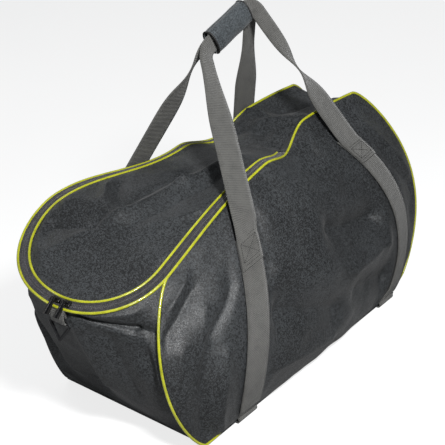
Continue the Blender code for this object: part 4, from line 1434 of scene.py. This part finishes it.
def out_of_wrap(p):
    """Outward direction of the sleeve's cloth at a point."""
    lift = grip_axes()[1]
    above = (p - Vector((GRIP_X, 0.0, GRIP_HEIGHT))).dot(lift)
    return (Vector((0.0, p.y, 0.0)) + lift * (above * 0.4)).normalized()


# --- End tab ----------------------------------------------------------------------------


def make_tab(finishes):
    """A webbing tab under the mouth at the near end, looped round the ring's bar."""
    surface = near_surface()
    u, v = TAB_PLACE, 1.0 - TAB_START
    top = surface(u, v)
    across = (surface(u + 0.02, v) - surface(u - 0.02, v)).normalized()
    down = (surface(u, v - 0.08) - top).normalized()
    down = (down - across * down.dot(across)).normalized()
    out = down.cross(across).normalized()
    if out.x > 0.0:
        out = -out
    turn = RING_WIRE + GAP + TAB_WEBBING / 2.0
    base = top + out * (SURFACE_GAP + TAB_STANDOFF + TAB_WEBBING / 2.0)
    bar = base + out * turn + down * TAB_DROP
    path = [base - down * TAB_TUCK - out * TAB_STANDOFF, base, base + down * TAB_DROP * 0.5]
    for angle in np.linspace(-90.0, 90.0, TURN_POINTS):
        a = math.radians(angle)
        path.append(bar + down * (turn * math.cos(a)) + out * (turn * math.sin(a)))
    path += [base + out * 2.0 * turn + down * TAB_DROP * 0.5, base + out * 1.4 * turn, base - down * TAB_TUCK]
    half = across * TAB_WIDTH / 2.0
    sections = even_sections([(p - half, p + half) for p in path], TAB_SECTIONS)
    tab = ribbon("end_tab_webbing", sections, TAB_WEBBING, finishes["grey_webbing"], 6, TAB_WIDTH)
    place_in(tab, "shell", "grey_webbing", "end_tab")


# --- Floor, light and camera ------------------------------------------------------------


def make_studio():
    """A pale floor, a white surround and three soft lights."""
    bm = bmesh.new()
    bmesh.ops.create_grid(bm, x_segments=1, y_segments=1, size=6.0)
    mat, tree, shader = new_finish("pale_floor", 0.9)
    place = node(tree, "ShaderNodeTexCoord").outputs["Object"]
    shader.inputs["Emission Color"].default_value = (1.0, 1.0, 1.0, 1.0)
    seen = node(tree, "ShaderNodeLightPath").outputs["Is Camera Ray"]
    glow = math_node(tree, "MULTIPLY", seen, FLOOR_GLOW)
    tree.links.new(glow, shader.inputs["Emission Strength"])
    soft = use_group(tree, "speckle", place, Size=0.5, Low=0.4, High=0.6)
    two_colours(tree, shader, soft.outputs[0], (0.30, 0.30, 0.30), (0.33, 0.33, 0.33))
    finished("floor", bm, mat)

    world = bpy.data.worlds.new("studio")
    bpy.context.scene.world = world
    world.use_nodes = True
    tree = world.node_tree
    soft_light = tree.nodes["Background"]
    soft_light.inputs["Color"].default_value = (0.93, 0.97, 1.0, 1.0)
    soft_light.inputs["Strength"].default_value = AMBIENT
    backdrop = node(tree, "ShaderNodeBackground")
    backdrop.inputs["Color"].default_value = (1.0, 1.0, 1.0, 1.0)
    seen = node(tree, "ShaderNodeLightPath").outputs["Is Camera Ray"]
    chosen = node(tree, "ShaderNodeMixShader")
    tree.links.new(seen, chosen.inputs[0])
    tree.links.new(soft_light.outputs[0], chosen.inputs[1])
    tree.links.new(backdrop.outputs[0], chosen.inputs[2])
    tree.links.new(chosen.outputs[0], tree.nodes["World Output"].inputs["Surface"])
    for name, place, size, power in (
        ("key", (-0.45, -0.95, 0.95), 0.16, 25.0),
        ("fill", (-1.6, 0.6, 0.9), 0.5, 5.0),
        ("rim", (0.4, 1.8, 2.2), 1.2, 8.0),
    ):
        light = bpy.data.lights.new(name, "AREA")
        light.size = size
        light.energy = power
        lamp = bpy.data.objects.new(name, light)
        lamp.location = place
        lamp.rotation_mode = "QUATERNION"
        lamp.rotation_quaternion = (Vector(place) - Vector((0.0, 0.0, 0.15))).to_track_quat("Z", "Y")
        bpy.context.scene.collection.objects.link(lamp)


def make_camera():
    """Looks down on the bag's near front corner, with the camera rolled a little."""
    a, e, roll = (math.radians(t) for t in (CAMERA_AZIMUTH, CAMERA_ELEVATION, CAMERA_ROLL))
    back = Vector((math.sin(a) * math.cos(e), -math.cos(a) * math.cos(e), math.sin(e)))
    right = UP.cross(back).normalized()
    up = right.cross(-back)
    turned_right = right * math.cos(roll) + up * math.sin(roll)
    turned_up = up * math.cos(roll) - right * math.sin(roll)
    data = bpy.data.cameras.new("camera")
    data.sensor_width = 36.0
    data.lens = CAMERA_FOCAL * 36.0
    data.shift_x, data.shift_y = CAMERA_SHIFT
    data.clip_start = 0.01
    camera = bpy.data.objects.new("camera", data)
    bpy.context.scene.collection.objects.link(camera)
    centre = Vector((0.0, 0.0, CAMERA_TARGET_Z)) + back * CAMERA_DISTANCE
    axes = Matrix((turned_right, turned_up, back)).transposed().to_4x4()
    camera.matrix_world = Matrix.Translation(centre) @ axes
    bpy.context.scene.camera = camera


SHOWN_CAD_NODES = (
    ("base_board", "grey_board"),
    ("wrap_hook_strip", "black_hook_strip"),
    ("tab_ring", "black_wire"),
)


def dress_cad_nodes(finishes):
    """Finishes for the CAD nodes that are shown as they are."""
    for name, finish in SHOWN_CAD_NODES:
        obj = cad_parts[name]
        obj.data.materials.clear()
        obj.data.materials.append(finishes[finish])
    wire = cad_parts["tab_ring"].modifiers.new("Heavier wire", "SOLIDIFY")
    wire.thickness = WIRE_THICKENING
    wire.offset = 1.0


def main():
    bpy.context.scene.view_settings.view_transform = "Standard"
    finishes = make_finishes()
    dress_cad_nodes(finishes)
    make_panels(finishes)
    make_bottom(finishes)
    make_lid(finishes)
    make_piping(finishes)
    make_zip(finishes)
    make_sliders(finishes)
    make_girth_straps(finishes)
    make_handle("front", finishes)
    make_handle("back", finishes)
    make_wrap(finishes)
    make_tab(finishes)
    make_studio()
    make_camera()


main()
